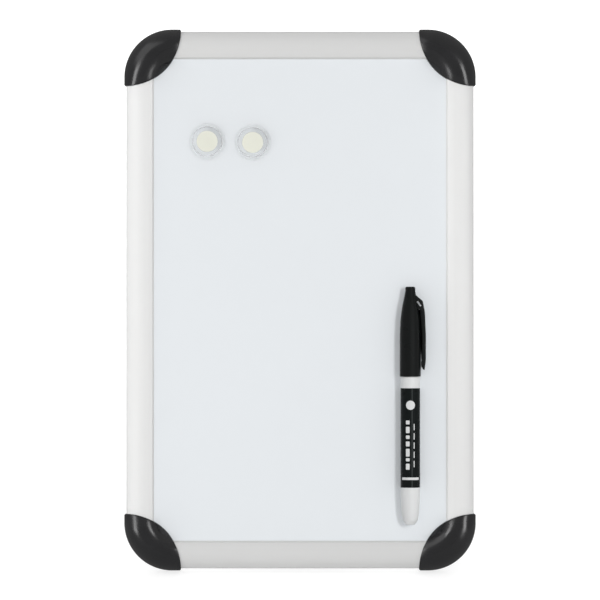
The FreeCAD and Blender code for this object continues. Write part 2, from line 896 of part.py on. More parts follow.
def make_parts():
    """Every sub-part on the leaned board, by name."""
    left_rail = make_left_rail()
    bottom_rail = make_bottom_rail()
    bottom_cap = make_corner_cap()
    top_cap = mirrored_up(bottom_cap)
    upright = {
        "rail_left": left_rail,
        "rail_right": mirrored_across(left_rail),
        "rail_bottom": bottom_rail,
        "rail_top": mirrored_up(bottom_rail),
        "corner_cap_bottom_left": bottom_cap,
        "corner_cap_bottom_right": mirrored_across(bottom_cap),
        "corner_cap_top_left": top_cap,
        "corner_cap_top_right": mirrored_across(top_cap),
        "writing_sheet": make_writing_sheet(),
        "core_board": make_core_board(),
        "backing_sheet": make_backing_sheet(),
        "hinge_bracket": make_hinge_bracket(),
        "bracket_screws": make_bracket_screws(),
        "hinge_pin": make_hinge_pin(),
        "pin_washer": make_pin_washer(),
        "marker_barrel": make_marker_barrel(),
        "marker_label": make_marker_label(),
        "marker_front_section": make_marker_front_section(),
        "marker_nib": make_marker_nib(),
        "marker_reservoir": make_marker_reservoir(),
        "marker_magnet": make_marker_magnet(),
        "marker_cap": make_marker_cap(),
        "marker_cap_liner": make_marker_cap_liner(),
    }
    places = {
        "left": (left_magnet_side_inset - half_width, board_top - left_magnet_top_inset),
        "right": (right_magnet_side_inset - half_width, board_top - right_magnet_top_inset),
    }
    for side, (across, up) in places.items():
        upright["magnet_" + side + "_housing"] = make_magnet_housing(across, up)
        upright["magnet_" + side + "_cover"] = make_magnet_cover(across, up)
        upright["magnet_" + side + "_disc"] = make_magnet_disc(across, up)
    parts = {name: stood(shape) for name, shape in upright.items()}
    parts["easel_leg"] = make_easel_leg()
    parts["leg_foot_pad"] = make_leg_foot_pad(parts["easel_leg"])
    return parts


def main():
    """Writes each sub-part, with the origin under the middle of the whole object's box."""
    os.makedirs("parts", exist_ok=True)
    parts = make_parts()
    whole = Part.makeCompound(list(parts.values())).optimalBoundingBox()
    shift = FreeCAD.Vector(-whole.Center.x, -whole.Center.y, -whole.ZMin)
    for name, shape in parts.items():
        shape.translate(shift)
        shape.exportStep("parts/" + name + ".step")
        print(name, len(shape.Solids), shape.isValid(), round(shape.Volume))
    print("shift", shift, "hinge rise", hinge_rise(), "foot distance", foot_distance())


main()
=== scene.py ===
import json
import math

import bmesh
import bpy
from bpy.props import FloatProperty, FloatVectorProperty, PointerProperty
from mathutils import Matrix, Vector


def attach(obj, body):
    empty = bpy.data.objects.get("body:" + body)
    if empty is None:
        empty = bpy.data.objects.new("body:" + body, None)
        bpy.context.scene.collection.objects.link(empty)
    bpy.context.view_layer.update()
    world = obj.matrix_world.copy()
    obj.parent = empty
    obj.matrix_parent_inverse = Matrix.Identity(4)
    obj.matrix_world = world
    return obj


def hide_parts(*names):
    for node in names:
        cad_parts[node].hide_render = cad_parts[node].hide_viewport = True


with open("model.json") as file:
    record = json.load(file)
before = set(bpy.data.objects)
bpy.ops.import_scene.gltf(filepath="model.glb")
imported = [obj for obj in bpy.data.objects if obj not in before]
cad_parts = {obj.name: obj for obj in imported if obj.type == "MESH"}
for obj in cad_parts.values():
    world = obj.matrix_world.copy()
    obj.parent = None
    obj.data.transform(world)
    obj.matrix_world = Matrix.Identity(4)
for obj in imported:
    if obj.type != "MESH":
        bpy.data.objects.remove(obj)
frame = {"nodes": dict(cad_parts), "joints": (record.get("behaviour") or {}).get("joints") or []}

bl_info = {
    "name": "Desk Whiteboard Easel",
    "version": (1, 0, 0),
    "blender": (4, 5, 0),
    "location": "View3D > Sidebar > Easel",
    "description": "Dresses a leaning magnetic whiteboard, its magnets, its marker and its leg",
    "category": "Object",
}

# Blender's name for the first UV map, which here holds metres
UV_NAME = "UVMap"

# Points closer than this are one point
WELD_DISTANCE = 0.000002
# Edges that turn by more than this stay sharp, and by less than the second one are none
SMOOTH_ANGLE = math.radians(32.0)
FLAT_ANGLE = math.radians(0.2)
# Steps of a full turn, a rounded corner, an arc, and each span of a flowing curve
TURN_STEPS = 96
CORNER_STEPS = 5
ARC_STEPS = 18
FLOW_STEPS = 6
# How far a step along a diagonal goes along each side
DIAGONAL = math.sqrt(0.5)


def joint_axis(name):
    """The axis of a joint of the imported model."""
    return next(Vector(joint["axis"]) for joint in frame["joints"] if joint["name"] == name).normalized()


# The board's own directions: across it, up it, and out of its face
ACROSS = Vector((1.0, 0.0, 0.0))
OUT = joint_axis("marker_lift")
UP = OUT.cross(ACROSS)
BOARD = Matrix((ACROSS, UP, OUT)).transposed()
# The directions in which meshes are drawn before they are placed on the board
X_AXIS = Vector((1.0, 0.0, 0.0))
Y_AXIS = Vector((0.0, 1.0, 0.0))
Z_AXIS = Vector((0.0, 0.0, 1.0))


def reach(node):
    """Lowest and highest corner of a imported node, measured across, up and out of the board."""
    points = [BOARD.transposed() @ vertex.co for vertex in frame["nodes"][node].data.vertices]
    low = Vector([min(point[axis] for point in points) for axis in range(3)])
    high = Vector([max(point[axis] for point in points) for axis in range(3)])
    return low, high


def middle(node):
    """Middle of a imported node's box in the board's directions."""
    low, high = reach(node)
    return (low + high) / 2


# Paths, and meshes made from rows of points

def running_lengths(points):
    """Distance along a path at each of its points."""
    lengths = [0.0]
    for here, there in zip(points, points[1:]):
        lengths.append(lengths[-1] + (there - here).length)
    return lengths


def arc_through(start, middle_point, end, steps=ARC_STEPS):
    """Points on the circle through three flat points, without the first one."""
    a, b, c = Vector(start), Vector(middle_point), Vector(end)
    ab, ac = b - a, c - a
    cross = ab.x * ac.y - ab.y * ac.x
    centre = a + Vector((ac.y * ab.length_squared - ab.y * ac.length_squared,
                         ab.x * ac.length_squared - ac.x * ab.length_squared)) / (2 * cross)
    first = math.atan2(a.y - centre.y, a.x - centre.x)
    last = math.atan2(c.y - centre.y, c.x - centre.x)
    turn = (last - first) % (2 * math.pi)
    if cross < 0:
        turn -= 2 * math.pi
    radius = (a - centre).length
    angles = [first + turn * (step + 1) / steps for step in range(steps)]
    return [centre + radius * Vector((math.cos(angle), math.sin(angle))) for angle in angles]


def rounded_corner(before, corner, after, radius):
    """Points of the arc that rounds a corner between two straight runs."""
    back = (before - corner).normalized()
    ahead = (after - corner).normalized()
    half = back.angle(ahead) / 2
    centre = corner + (back + ahead).normalized() * radius / math.sin(half)
    first = corner + back * radius / math.tan(half) - centre
    last = corner + ahead * radius / math.tan(half) - centre
    turn = math.pi - 2 * half
    points = []
    for step in range(CORNER_STEPS + 1):
        share = step / CORNER_STEPS
        swing = first * math.sin((1 - share) * turn) + last * math.sin(share * turn)
        points.append(centre + swing / math.sin(turn))
    return points


def softened(corners, closed=False):
    """A flat path from (x, y) or (x, y, radius) corners, the latter rounded."""
    flat = [Vector(corner[:2]) for corner in corners]
    path = []
    for index, corner in enumerate(corners):
        inner = closed or 0 < index < len(corners) - 1
        if len(corner) == 3 and inner:
            path += rounded_corner(flat[index - 1], flat[index], flat[(index + 1) % len(flat)], corner[2])
        else:
            path.append(flat[index])
    return path


def rows_mesh(name, *bands, end_faces=False):
    """A smooth mesh through bands of rows of points, each row a closed ring."""
    work = bmesh.new()
    layer = work.loops.layers.uv.new(UV_NAME)
    for rows in bands:
        add_rows(work, layer, rows, end_faces)
    bmesh.ops.remove_doubles(work, verts=work.verts, dist=WELD_DISTANCE)
    bmesh.ops.recalc_face_normals(work, faces=work.faces)
    return finished_mesh(name, work)


def add_rows(work, layer, rows, end_faces):
    """Adds one band of faces. Its UV map holds metres: along the widest row, and from row to row."""
    grid = [[work.verts.new(point) for point in row] for row in rows]
    count = len(rows[0])
    widest = max(rows, key=lambda row: running_lengths(row)[-1])
    along = running_lengths(widest + widest[:1])
    down = running_lengths([row[0] for row in rows])
    for row in range(len(rows) - 1):
        for column in range(count):
            corners = [(row, column), (row, column + 1), (row + 1, column + 1), (row + 1, column)]
            face = work.faces.new([grid[r][c % count] for r, c in corners])
            for loop, (r, c) in zip(face.loops, corners):
                loop[layer].uv = (along[c] - along[count] / 2, down[r])
    if end_faces:
        work.faces.new(grid[0][::-1])
        work.faces.new(grid[-1])


def finished_mesh(name, work):
    """Turns a working mesh into a smooth mesh with sharp edges kept sharp."""
    mesh = bpy.data.meshes.new(name)
    for face in work.faces:
        face.smooth = True
    work.to_mesh(mesh)
    work.free()
    mesh.set_sharp_from_angle(angle=SMOOTH_ANGLE)
    return mesh


def turned_mesh(name, centre, axis, front, *profiles, steps=TURN_STEPS):
    """A mesh of revolution from (radius, along) points, its UV map cut open away from its front."""
    side = axis.cross(front)
    angles = [2 * math.pi * step / steps - math.pi for step in range(steps)]
    spokes = [front * math.cos(angle) + side * math.sin(angle) for angle in angles]
    bands = [[[centre + axis * along + spoke * radius for spoke in spokes] for radius, along in profile]
             for profile in profiles]
    return rows_mesh(name, *bands)


def flowing(points):
    """A smooth curve through flat points, without the first one."""
    flat = [Vector(point) for point in points]
    flat = [2 * flat[0] - flat[1], *flat, 2 * flat[-1] - flat[-2]]
    path = []
    for before, start, end, after in zip(flat, flat[1:], flat[2:], flat[3:]):
        leave, arrive = (end - before) / 2, (after - start) / 2
        for step in range(FLOW_STEPS):
            share = (step + 1) / FLOW_STEPS
            square, cube = share ** 2, share ** 3
            path.append(start * (2 * cube - 3 * square + 1) + leave * (cube - 2 * square + share)
                        + end * (3 * square - 2 * cube) + arrive * (cube - square))
    return path


def placed(name, data):
    """A new object in the scene."""
    made = bpy.data.objects.new(name, data)
    bpy.context.scene.collection.objects.link(made)
    return made


def carved(mesh, *cutters, operation="DIFFERENCE"):
    """The mesh after one boolean with each cutting or joining mesh."""
    body = placed("body", mesh)
    tools = [placed("tool", cutter) for cutter in cutters]
    for tool in tools:
        boolean = body.modifiers.new("carve", "BOOLEAN")
        boolean.operation = operation
        boolean.solver = "MANIFOLD"
        boolean.object = tool
    graph = bpy.context.evaluated_depsgraph_get()
    result = bpy.data.meshes.new_from_object(body.evaluated_get(graph))
    result.name = mesh.name
    for used in (body, *tools):
        bpy.data.objects.remove(used)
    for polygon in result.polygons:
        polygon.use_smooth = True
    result.set_sharp_from_angle(angle=SMOOTH_ANGLE)
    return result


def joined_mesh(name, meshes):
    """One mesh of several."""
    work = bmesh.new()
    for mesh in meshes:
        work.from_mesh(mesh)
    return finished_mesh(name, work)


def rectangle(low, high):
    """Corners of a flat rectangle, in order."""
    return [(low[0], low[1]), (high[0], low[1]), (high[0], high[1]), (low[0], high[1])]


def block_mesh(name, low, high):
    """A closed block between two corners, for cutting."""
    rows = [[Vector((x, y, z)) for x, y in rectangle(low, high)] for z in (low[2], high[2])]
    return rows_mesh(name, rows, end_faces=True)


def board_piece(name, mesh, body, slot, material, *nodes):
    """Places a mesh drawn in the board's directions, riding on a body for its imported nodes."""
    mesh.transform(BOARD.to_4x4())
    mesh.materials.clear()
    mesh.materials.append(material)
    for polygon in mesh.polygons:
        polygon.material_index = 0
    piece = placed(name, mesh)
    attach(piece, body)
    if nodes:
        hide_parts(*nodes)
    return piece


def soften_edges(piece, width, segments=3):
    """Rounds a piece's sharp edges with a bevel that leaves its flat faces flat."""
    bevel = piece.modifiers.new("edge_rounding", "BEVEL")
    bevel.width = width
    bevel.segments = segments
    bevel.limit_method = "ANGLE"
    bevel.angle_limit = SMOOTH_ANGLE
    bevel.harden_normals = True


def dress(node, material, edge=None):
    """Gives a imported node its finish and, with an edge size, softened edges."""
    piece = frame["nodes"][node]
    piece.material_slots[0].material = material
    if edge:
        weld = piece.modifiers.new("weld", "WELD")
        weld.merge_threshold = WELD_DISTANCE
        flat = piece.modifiers.new("flat_faces", "DECIMATE")
        flat.decimate_type = "DISSOLVE"
        flat.angle_limit = FLAT_ANGLE
        soften_edges(piece, edge, segments=2)


# Node trees

# Places of a colour mix's two colours and of its result, whose names its other sockets share
FIRST_COLOUR, SECOND_COLOUR, MIXED_COLOUR = 6, 7, 2


def spaced(keyword):
    """A socket's name from a keyword."""
    return keyword.replace("_", " ")


class Wiring:
    """Adds nodes to a tree and joins their sockets."""

    def __init__(self, tree):
        self.tree = tree

    def feed(self, socket, value):
        """Wires an output into a socket, or sets the socket's own value."""
        if isinstance(value, bpy.types.NodeSocket):
            self.tree.links.new(value, socket)
        else:
            socket.default_value = value

    def node(self, kind, feeds=None, **settings):
        """A node with its settings, its sockets fed by name or by place."""
        made = self.tree.nodes.new(kind)
        for name, value in settings.items():
            setattr(made, name, value)
        for name, value in (feeds or {}).items():
            self.feed(made.inputs[name], value)
        return made

    def math(self, operation, *values):
        return self.node("ShaderNodeMath", dict(enumerate(values)), operation=operation).outputs["Value"]

    def vector(self, operation, *values):
        made = self.node("ShaderNodeVectorMath", dict(enumerate(values)), operation=operation)
        return made.outputs["Value" if operation in ("LENGTH", "DOT_PRODUCT") else "Vector"]

    def remap(self, value, low, high, to_low=0.0, to_high=1.0):
        """Smoothly maps one range of values on another."""
        feeds = {"Value": value, "From Min": low, "From Max": high, "To Min": to_low, "To Max": to_high}
        return self.node("ShaderNodeMapRange", feeds, interpolation_type="SMOOTHSTEP").outputs["Result"]

    def spread(self, share, low, high):
        """Smoothly maps a share of 0 to 1 on a range."""
        return self.remap(share, 0.0, 1.0, low, high)

    def noise(self, vector, density, detail=2.0, roughness=0.5):
        feeds = {"Vector": vector, "Scale": density, "Detail": detail, "Roughness": roughness}
        return self.node("ShaderNodeTexNoise", feeds).outputs["Fac"]

    def tint(self, share, low, high):
        """Mixes two colours."""
        feeds = {"Factor": share, FIRST_COLOUR: low, SECOND_COLOUR: high}
        return self.node("ShaderNodeMix", feeds, data_type="RGBA").outputs[MIXED_COLOUR]

    def tone(self, share, colour, darker, lighter):
        """Varies a colour between two shares of it."""
        return self.tint(share, shifted(colour, -darker), shifted(colour, lighter))

    def effect(self, make, **feeds):
        """Places a shared effect."""
        named = {spaced(name): value for name, value in feeds.items()}
        return self.node("ShaderNodeGroup", named, node_tree=shared_effect(make)).outputs

    def coordinates(self, output="Object"):
        return self.node("ShaderNodeTexCoord").outputs[output]

    def bump(self, height, depth):
        return self.node("ShaderNodeBump", {"Height": height, "Distance": depth}).outputs["Normal"]

    def mixed(self, share, first, second):
        """Mixes the only outputs of two shader nodes."""
        feeds = {"Fac": share, 1: first.outputs[0], 2: second.outputs[0]}
        return self.node("ShaderNodeMixShader", feeds).outputs["Shader"]


class Finish(Wiring):
    """A material and the wiring round its Principled shader."""

    def __init__(self, name, **sockets):
        self.material = bpy.data.materials.new(name)
        self.material.use_nodes = True
        super().__init__(self.material.node_tree)
        self.shader = self.tree.nodes["Principled BSDF"]
        self.look(**sockets)

    def look(self, **sockets):
        """Wires or sets the shader's sockets, and gives the material."""
        for name, value in sockets.items():
            self.feed(self.shader.inputs[spaced(name)], value)
        return self.material


def rgba(colour):
    """A colour with full alpha."""
    return (colour[0], colour[1], colour[2], 1.0)


def grey(level):
    """A grey with full alpha."""
    return (level, level, level, 1.0)


def shifted(colour, change):
    """A colour made lighter or darker by a share."""
    return rgba([min(1.0, part * (1 + change)) for part in colour])


# Effects that finishes share

EFFECTS = {}


def shared_effect(make):
    """The node group that a function makes, built on first use."""
    if make.__name__ not in EFFECTS:
        EFFECTS[make.__name__] = make()
    return EFFECTS[make.__name__]


def new_effect(name, results, **settings):
    """A shader node group over a Vector, with its wiring and the sockets inside its two ends."""
    group = bpy.data.node_groups.new(name, "ShaderNodeTree")
    group.interface.new_socket("Vector", in_out="INPUT", socket_type="NodeSocketVector")
    for label, value in settings.items():
        kind = "NodeSocketFloat" if isinstance(value, float) else "NodeSocketVector"
        group.interface.new_socket(spaced(label), in_out="INPUT", socket_type=kind).default_value = value
    for label in results:
        group.interface.new_socket(label, in_out="OUTPUT", socket_type="NodeSocketFloat")
    wiring = Wiring(group)
    given = wiring.node("NodeGroupInput").outputs
    return group, wiring, given, wiring.node("NodeGroupOutput").inputs


# How many times broader a moulding's tone is than its grain
TONE_TO_GRAIN = 40.0
# How dense the tone over drawn lines is against them
TONE_TO_LINES = 0.15
# Turns of the surface over which an edge is rubbed, and the noise that breaks the rubbing up
RUBBED_TURN = (0.02, 0.2)
RUBBED_DENSITY = 900.0
RUBBED_NOISE = (0.42, 0.62)
BEVEL_SAMPLES = 4
# Noise over which a smudge sets in, and what draws scratches out, thins them and keeps them to patches
SMUDGE_NOISE = (0.25, 0.75)
SCRATCH_STRETCH = (0.06, 1.0, 0.4)
SCRATCHES_TO_PATCH = 6.0
SCRATCH_EDGE = 0.006
SCRATCHED_NOISE = (0.6, 0.72)
# Upward slopes on which dust lies, its specks, and its haze with what it leaves everywhere
DUSTY_SLOPE = (0.3, 1.0)
SPECK_DENSITY = 1800.0
SPECK_NOISE = (0.5, 0.7)
HAZE_DENSITY = 60.0
HAZE_NOISE = (0.3, 0.7)
LEAST_HAZE = 0.3
LEAST_DUST = 0.35
# Half the width of a printed edge
PRINT_BLUR = 0.00004


def moulded_grain():
    """Fine uneven skin of a moulding: a height for bumps and a tone for small colour changes."""
    group, wiring, given, results = new_effect("moulded_grain", ("Height", "Tone"), Grain_Size=0.0004)
    density = wiring.math("DIVIDE", 1.0, given["Grain Size"])
    wiring.feed(results["Height"], wiring.noise(given["Vector"], density, detail=3.0, roughness=0.6))
    broad = wiring.math("DIVIDE", density, TONE_TO_GRAIN)
    wiring.feed(results["Tone"], wiring.noise(given["Vector"], broad))
    return group


def drawn_lines():
    """Faint lines along a drawn or extruded bar, from its UV map in metres."""
    group, wiring, given, results = new_effect("drawn_lines", ("Height", "Tone"), Line_Width=0.0003,
                                               Line_Length=0.3)
    parts = wiring.node("ShaderNodeSeparateXYZ", {"Vector": given["Vector"]}).outputs
    across = wiring.math("DIVIDE", parts["X"], given["Line Width"])
    along = wiring.math("DIVIDE", parts["Y"], given["Line Length"])
    place = wiring.node("ShaderNodeCombineXYZ", {"X": across, "Y": along}).outputs["Vector"]
    wiring.feed(results["Height"], wiring.noise(place, 1.0, roughness=0.6))
    wiring.feed(results["Tone"], wiring.noise(place, TONE_TO_LINES, detail=1.0))
    return group


def edge_wear():
    """A mask of rubbed edges, broken up by noise."""
    group, wiring, given, results = new_effect("edge_wear", ("Mask",), Edge_Width=0.0004, Amount=0.5)
    rounded = wiring.node("ShaderNodeBevel", {"Radius": given["Edge Width"]}, samples=BEVEL_SAMPLES)
    flat = wiring.node("ShaderNodeNewGeometry").outputs["Normal"]
    level = wiring.vector("DOT_PRODUCT", rounded.outputs["Normal"], flat)
    edge = wiring.remap(wiring.math("SUBTRACT", 1.0, level), *RUBBED_TURN)
    patches = wiring.noise(given["Vector"], RUBBED_DENSITY, detail=4.0, roughness=0.7)
    rubbed = wiring.math("MULTIPLY", edge, wiring.remap(patches, *RUBBED_NOISE))
    wiring.feed(results["Mask"], wiring.math("MULTIPLY", rubbed, given["Amount"]))
    return group


def handling_marks():
    """Masks of soft smudges and of short fine scratches."""
    group, wiring, given, results = new_effect("handling_marks", ("Smudge", "Scratch"), Smudge_Size=0.03,
                                               Scratch_Spacing=0.004)
    density = wiring.math("DIVIDE", 1.0, given["Smudge Size"])
    smudges = wiring.noise(given["Vector"], density, detail=1.0, roughness=0.4)
    wiring.feed(results["Smudge"], wiring.remap(smudges, *SMUDGE_NOISE))
    spacing = wiring.math("DIVIDE", 1.0, given["Scratch Spacing"])
    wavy = wiring.node("ShaderNodeTexNoise", {"Vector": given["Vector"], "Scale": density, "Detail": 1.0})
    moved = wiring.vector("ADD", given["Vector"], wiring.vector("SCALE", wavy.outputs["Color"]))
    stretched = wiring.vector("MULTIPLY", moved, SCRATCH_STRETCH)
    lines = wiring.noise(stretched, wiring.math("MULTIPLY", spacing, SCRATCHES_TO_PATCH), detail=1.0)
    ridge = wiring.math("ABSOLUTE", wiring.math("SUBTRACT", lines, 0.5))
    thin = wiring.math("SUBTRACT", 1.0, wiring.remap(ridge, 0.0, SCRATCH_EDGE))
    patch = wiring.remap(wiring.noise(given["Vector"], spacing, detail=1.0), *SCRATCHED_NOISE)
    wiring.feed(results["Scratch"], wiring.math("MULTIPLY", thin, patch))
    return group


def settled_dust():
    """A mask of fine dust on faces that look up."""
    group, wiring, given, results = new_effect("settled_dust", ("Mask",), Amount=0.1)
    normal = wiring.node("ShaderNodeNewGeometry").outputs["Normal"]
    up = wiring.node("ShaderNodeSeparateXYZ", {"Vector": normal}).outputs["Z"]
    grains = wiring.noise(given["Vector"], SPECK_DENSITY, detail=3.0, roughness=0.8)
    specks = wiring.math("ADD", wiring.remap(grains, *SPECK_NOISE), LEAST_DUST)
    clouds = wiring.noise(given["Vector"], HAZE_DENSITY, detail=3.0)
    haze = wiring.remap(clouds, *HAZE_NOISE, LEAST_HAZE, 1.0)
    lying = wiring.math("MULTIPLY", wiring.remap(up, *DUSTY_SLOPE), haze)
    amount = wiring.math("MULTIPLY", specks, given["Amount"])
    wiring.feed(results["Mask"], wiring.math("MULTIPLY", lying, amount))
    return group


def printed_box():
    """A mask of one printed box with round corners, placed in metres on a UV map."""
    group, wiring, given, results = new_effect(
        "printed_box", ("Mask",), Centre=(0.0, 0.0, 0.0), Half_Size=(0.001, 0.001, 0.0), Corner_Radius=0.0002)
    radius = given["Corner Radius"]
    corner = wiring.node("ShaderNodeCombineXYZ", {"X": radius, "Y": radius}).outputs["Vector"]
    away = wiring.vector("ABSOLUTE", wiring.vector("SUBTRACT", given["Vector"], given["Centre"]))
    inner = wiring.vector("SUBTRACT", given["Half Size"], corner)
    past = wiring.vector("MAXIMUM", wiring.vector("SUBTRACT", away, inner), (0.0, 0.0, 0.0))
    distance = wiring.math("SUBTRACT", wiring.vector("LENGTH", past), radius)
    wiring.feed(results["Mask"], wiring.remap(distance, -PRINT_BLUR, PRINT_BLUR, 1.0, 0.0))
    return group


# Finishes

DUST_ON_PLASTIC = (0.5, 0.49, 0.47, 1.0)
DUST_ON_RUBBER = (0.4, 0.39, 0.37, 1.0)
# How much paler black plastic is where it is rubbed
RUBBED_PALER = 0.05
# How fibres are drawn out along the backing card, and along the nib and the ink reservoir
CARD_STRETCH = (1.0, 3.0, 0.6)
INK_FIBRE_STRETCH = (1.0, 0.15, 0.15)
# How strongly the card shows its smudges
CARD_SMUDGE = 0.12
# Colour and strength of a painted highlight, a lighter line down the label's front, then of its scuffs
PAINTED_HIGHLIGHT_COLOUR, PAINTED_HIGHLIGHT_STRENGTH = (0.09, 0.1, 0.1, 1.0), 0.5
SCUFF_LEVEL, SCUFF_STRENGTH = 0.25, 0.25
# Light that passes a clear wall straight on and all aslant, and how much its tint is darkened there as
# painted shade round its outline
PASSED_STRAIGHT, PASSED_ASLANT = 0.98, 0.62
PAINTED_SHADE_ASLANT = 0.18


def pearl_extrusion(colours):
    """Satin pearl-white skin of the rails, with faint lines along the bar."""
    finish = Finish("pearl_extrusion", Anisotropic=0.9)
    lines = finish.effect(drawn_lines, Vector=finish.coordinates("UV"), Line_Width=0.00035, Line_Length=0.4)
    marks = finish.effect(handling_marks, Vector=finish.coordinates(), Smudge_Size=0.05)
    wear = finish.effect(edge_wear, Vector=finish.coordinates(), Edge_Width=0.0003, Amount=0.12)
    base = finish.tone(lines["Tone"], colours.rail, darker=0.015, lighter=0.015)
    across = finish.node("ShaderNodeTangent", direction_type="UV_MAP", uv_map=UV_NAME)
    return finish.look(Base_Color=finish.tint(wear["Mask"], base, shifted(colours.rail, -0.25)),
                       Roughness=finish.spread(marks["Smudge"], low=0.43, high=0.47),
                       Normal=finish.bump(lines["Height"], depth=0.000002),
                       Tangent=across.outputs["Tangent"])


def black_moulding(name, colour, roughness, grain_size, grain_depth):
    """Black moulded plastic with a fine skin, rubbed edges and a little dust."""
    finish = Finish(name, Specular_IOR_Level=0.25)
    place = finish.coordinates()
    grain = finish.effect(moulded_grain, Vector=place, Grain_Size=grain_size)
    wear = finish.effect(edge_wear, Vector=place, Edge_Width=0.0004, Amount=0.35)
    dust = finish.effect(settled_dust, Vector=place, Amount=0.05)
    marks = finish.effect(handling_marks, Vector=place, Smudge_Size=0.012)
    base = finish.tone(grain["Tone"], colour, darker=0.15, lighter=0.15)
    worn = finish.tint(wear["Mask"], base, rgba([part + RUBBED_PALER for part in colour]))
    return finish.look(Base_Color=finish.tint(dust["Mask"], worn, DUST_ON_PLASTIC),
                       Roughness=finish.spread(marks["Smudge"], roughness - 0.04, roughness + 0.05),
                       Normal=finish.bump(grain["Height"], grain_depth))


def writing_lacquer(colours):
    """Gloss white lacquer on steel, with a slight ripple and faint wiping marks."""
    finish = Finish("writing_lacquer", Coat_Weight=0.3, Coat_Roughness=0.12)
    place = finish.coordinates()
    marks = finish.effect(handling_marks, Vector=place, Smudge_Size=0.08, Scratch_Spacing=0.02)
    tone = finish.noise(place, density=9.0)
    ripple = finish.noise(place, density=160.0)
    return finish.look(Base_Color=finish.tone(tone, colours.lacquer, darker=0.008, lighter=0.008),
                       Roughness=finish.spread(marks["Smudge"], low=0.275, high=0.29),
                       Normal=finish.bump(ripple, depth=0.000003))


def backing_card(colours):
    """Smooth grey card with fine fibres."""
    finish = Finish("backing_card", Roughness=0.8)
    place = finish.coordinates()
    drawn_out = finish.vector("MULTIPLY", place, CARD_STRETCH)
    fibre = finish.noise(drawn_out, density=1500.0, detail=4.0, roughness=0.7)
    marks = finish.effect(handling_marks, Vector=place, Smudge_Size=0.04)
    speck = finish.remap(finish.noise(place, density=2600.0, detail=1.0), low=0.68, high=0.74)
    base = finish.tone(fibre, colours.card, darker=0.1, lighter=0.1)
    smudge = finish.math("MULTIPLY", marks["Smudge"], CARD_SMUDGE)
    smudged = finish.tint(smudge, base, shifted(colours.card, -0.3))
    return finish.look(Base_Color=finish.tint(speck, smudged, shifted(colours.card, -0.45)),
                       Normal=finish.bump(fibre, depth=0.00002))


def pressed_hardboard(colours):
    """Brown pressed wood fibre of the core."""
    finish = Finish("pressed_hardboard", Roughness=0.75)
    fibre = finish.noise(finish.coordinates(), density=2000.0, detail=4.0, roughness=0.7)
    return finish.look(Base_Color=finish.tone(fibre, colours.hardboard, darker=0.35, lighter=0.35),
                       Normal=finish.bump(fibre, depth=0.00004))


def plated_steel(colours):
    """Zinc-plated steel with fine turning lines."""
    finish = Finish("plated_steel", Metallic=1.0)
    place = finish.coordinates()
    grain = finish.effect(moulded_grain, Vector=place, Grain_Size=0.0003)
    wear = finish.effect(edge_wear, Vector=place, Edge_Width=0.0002, Amount=0.5)
    base = finish.tone(grain["Tone"], colours.steel, darker=0.12, lighter=0.1)
    return finish.look(Base_Color=finish.tint(wear["Mask"], base, shifted(colours.steel, 0.25)),
                       Roughness=finish.remap(grain["Height"], low=0.3, high=0.7, to_low=0.26, to_high=0.42),
                       Normal=finish.bump(grain["Height"], depth=0.000008))


def foot_rubber(colours):
    """Soft matt black rubber with a little dust."""
    finish = Finish("foot_rubber", Roughness=0.85)
    place = finish.coordinates()
    grain = finish.effect(moulded_grain, Vector=place, Grain_Size=0.0006)
    dust = finish.effect(settled_dust, Vector=place, Amount=0.25)
    base = finish.tone(grain["Tone"], colours.rubber, darker=0.15, lighter=0.2)
    return finish.look(Base_Color=finish.tint(dust["Mask"], base, DUST_ON_RUBBER),
                       Normal=finish.bump(grain["Height"], depth=0.00006))


def clear_acrylic(colours):
    """Clear polished plastic that lets light through to what it covers, least where it passes aslant, its
    tint darkened towards its outline as painted shade.
    """
    finish = Finish("clear_acrylic", Transmission_Weight=1.0, IOR=1.49)
    marks = finish.effect(handling_marks, Vector=finish.coordinates(), Smudge_Size=0.006,
                          Scratch_Spacing=0.003)
    facing = finish.node("ShaderNodeLayerWeight", {"Blend": 0.5}).outputs["Facing"]
    aslant = finish.math("MULTIPLY", facing, facing)
    path = finish.node("ShaderNodeLightPath").outputs
    lighting = finish.math("MAXIMUM", path["Is Shadow Ray"], path["Is Diffuse Ray"])
    passed = finish.tint(aslant, grey(PASSED_STRAIGHT), grey(PASSED_ASLANT))
    see_through = finish.node("ShaderNodeBsdfTransparent", {"Color": passed})
    surface = finish.tree.nodes["Material Output"].inputs["Surface"]
    finish.feed(surface, finish.mixed(lighting, finish.shader, see_through))
    return finish.look(
        # Painted shade: the tint darkens where the surface turns away from the eye, round the housing's
        # outline
        Base_Color=finish.tint(aslant, rgba(colours.clear), shifted(colours.clear, -PAINTED_SHADE_ASLANT)),
        Roughness=finish.spread(marks["Smudge"], low=0.02, high=0.09))


def plain_moulding(name, colour, roughness, tone=0.03, shine=0.5):
    """Smooth moulded plastic with slight changes of tone and gloss."""
    finish = Finish(name, Specular_IOR_Level=shine)
    place = finish.coordinates()
    grain = finish.effect(moulded_grain, Vector=place, Grain_Size=0.0005)
    marks = finish.effect(handling_marks, Vector=place, Smudge_Size=0.01)
    return finish.look(Base_Color=finish.tone(grain["Tone"], colour, tone, tone),
                       Roughness=finish.spread(marks["Smudge"], roughness - 0.03, roughness + 0.05),
                       Normal=finish.bump(grain["Height"], depth=0.000004))


def rough_fibre(name, colour):
    """Bonded or pressed fibre, as in the nib and the ink reservoir."""
    finish = Finish(name, Roughness=0.9)
    drawn_out = finish.vector("MULTIPLY", finish.coordinates(), INK_FIBRE_STRETCH)
    fibre = finish.noise(drawn_out, density=6000.0, detail=3.0)
    return finish.look(Base_Color=finish.tone(fibre, colour, darker=0.5, lighter=0.8),
                       Normal=finish.bump(fibre, depth=0.00005))


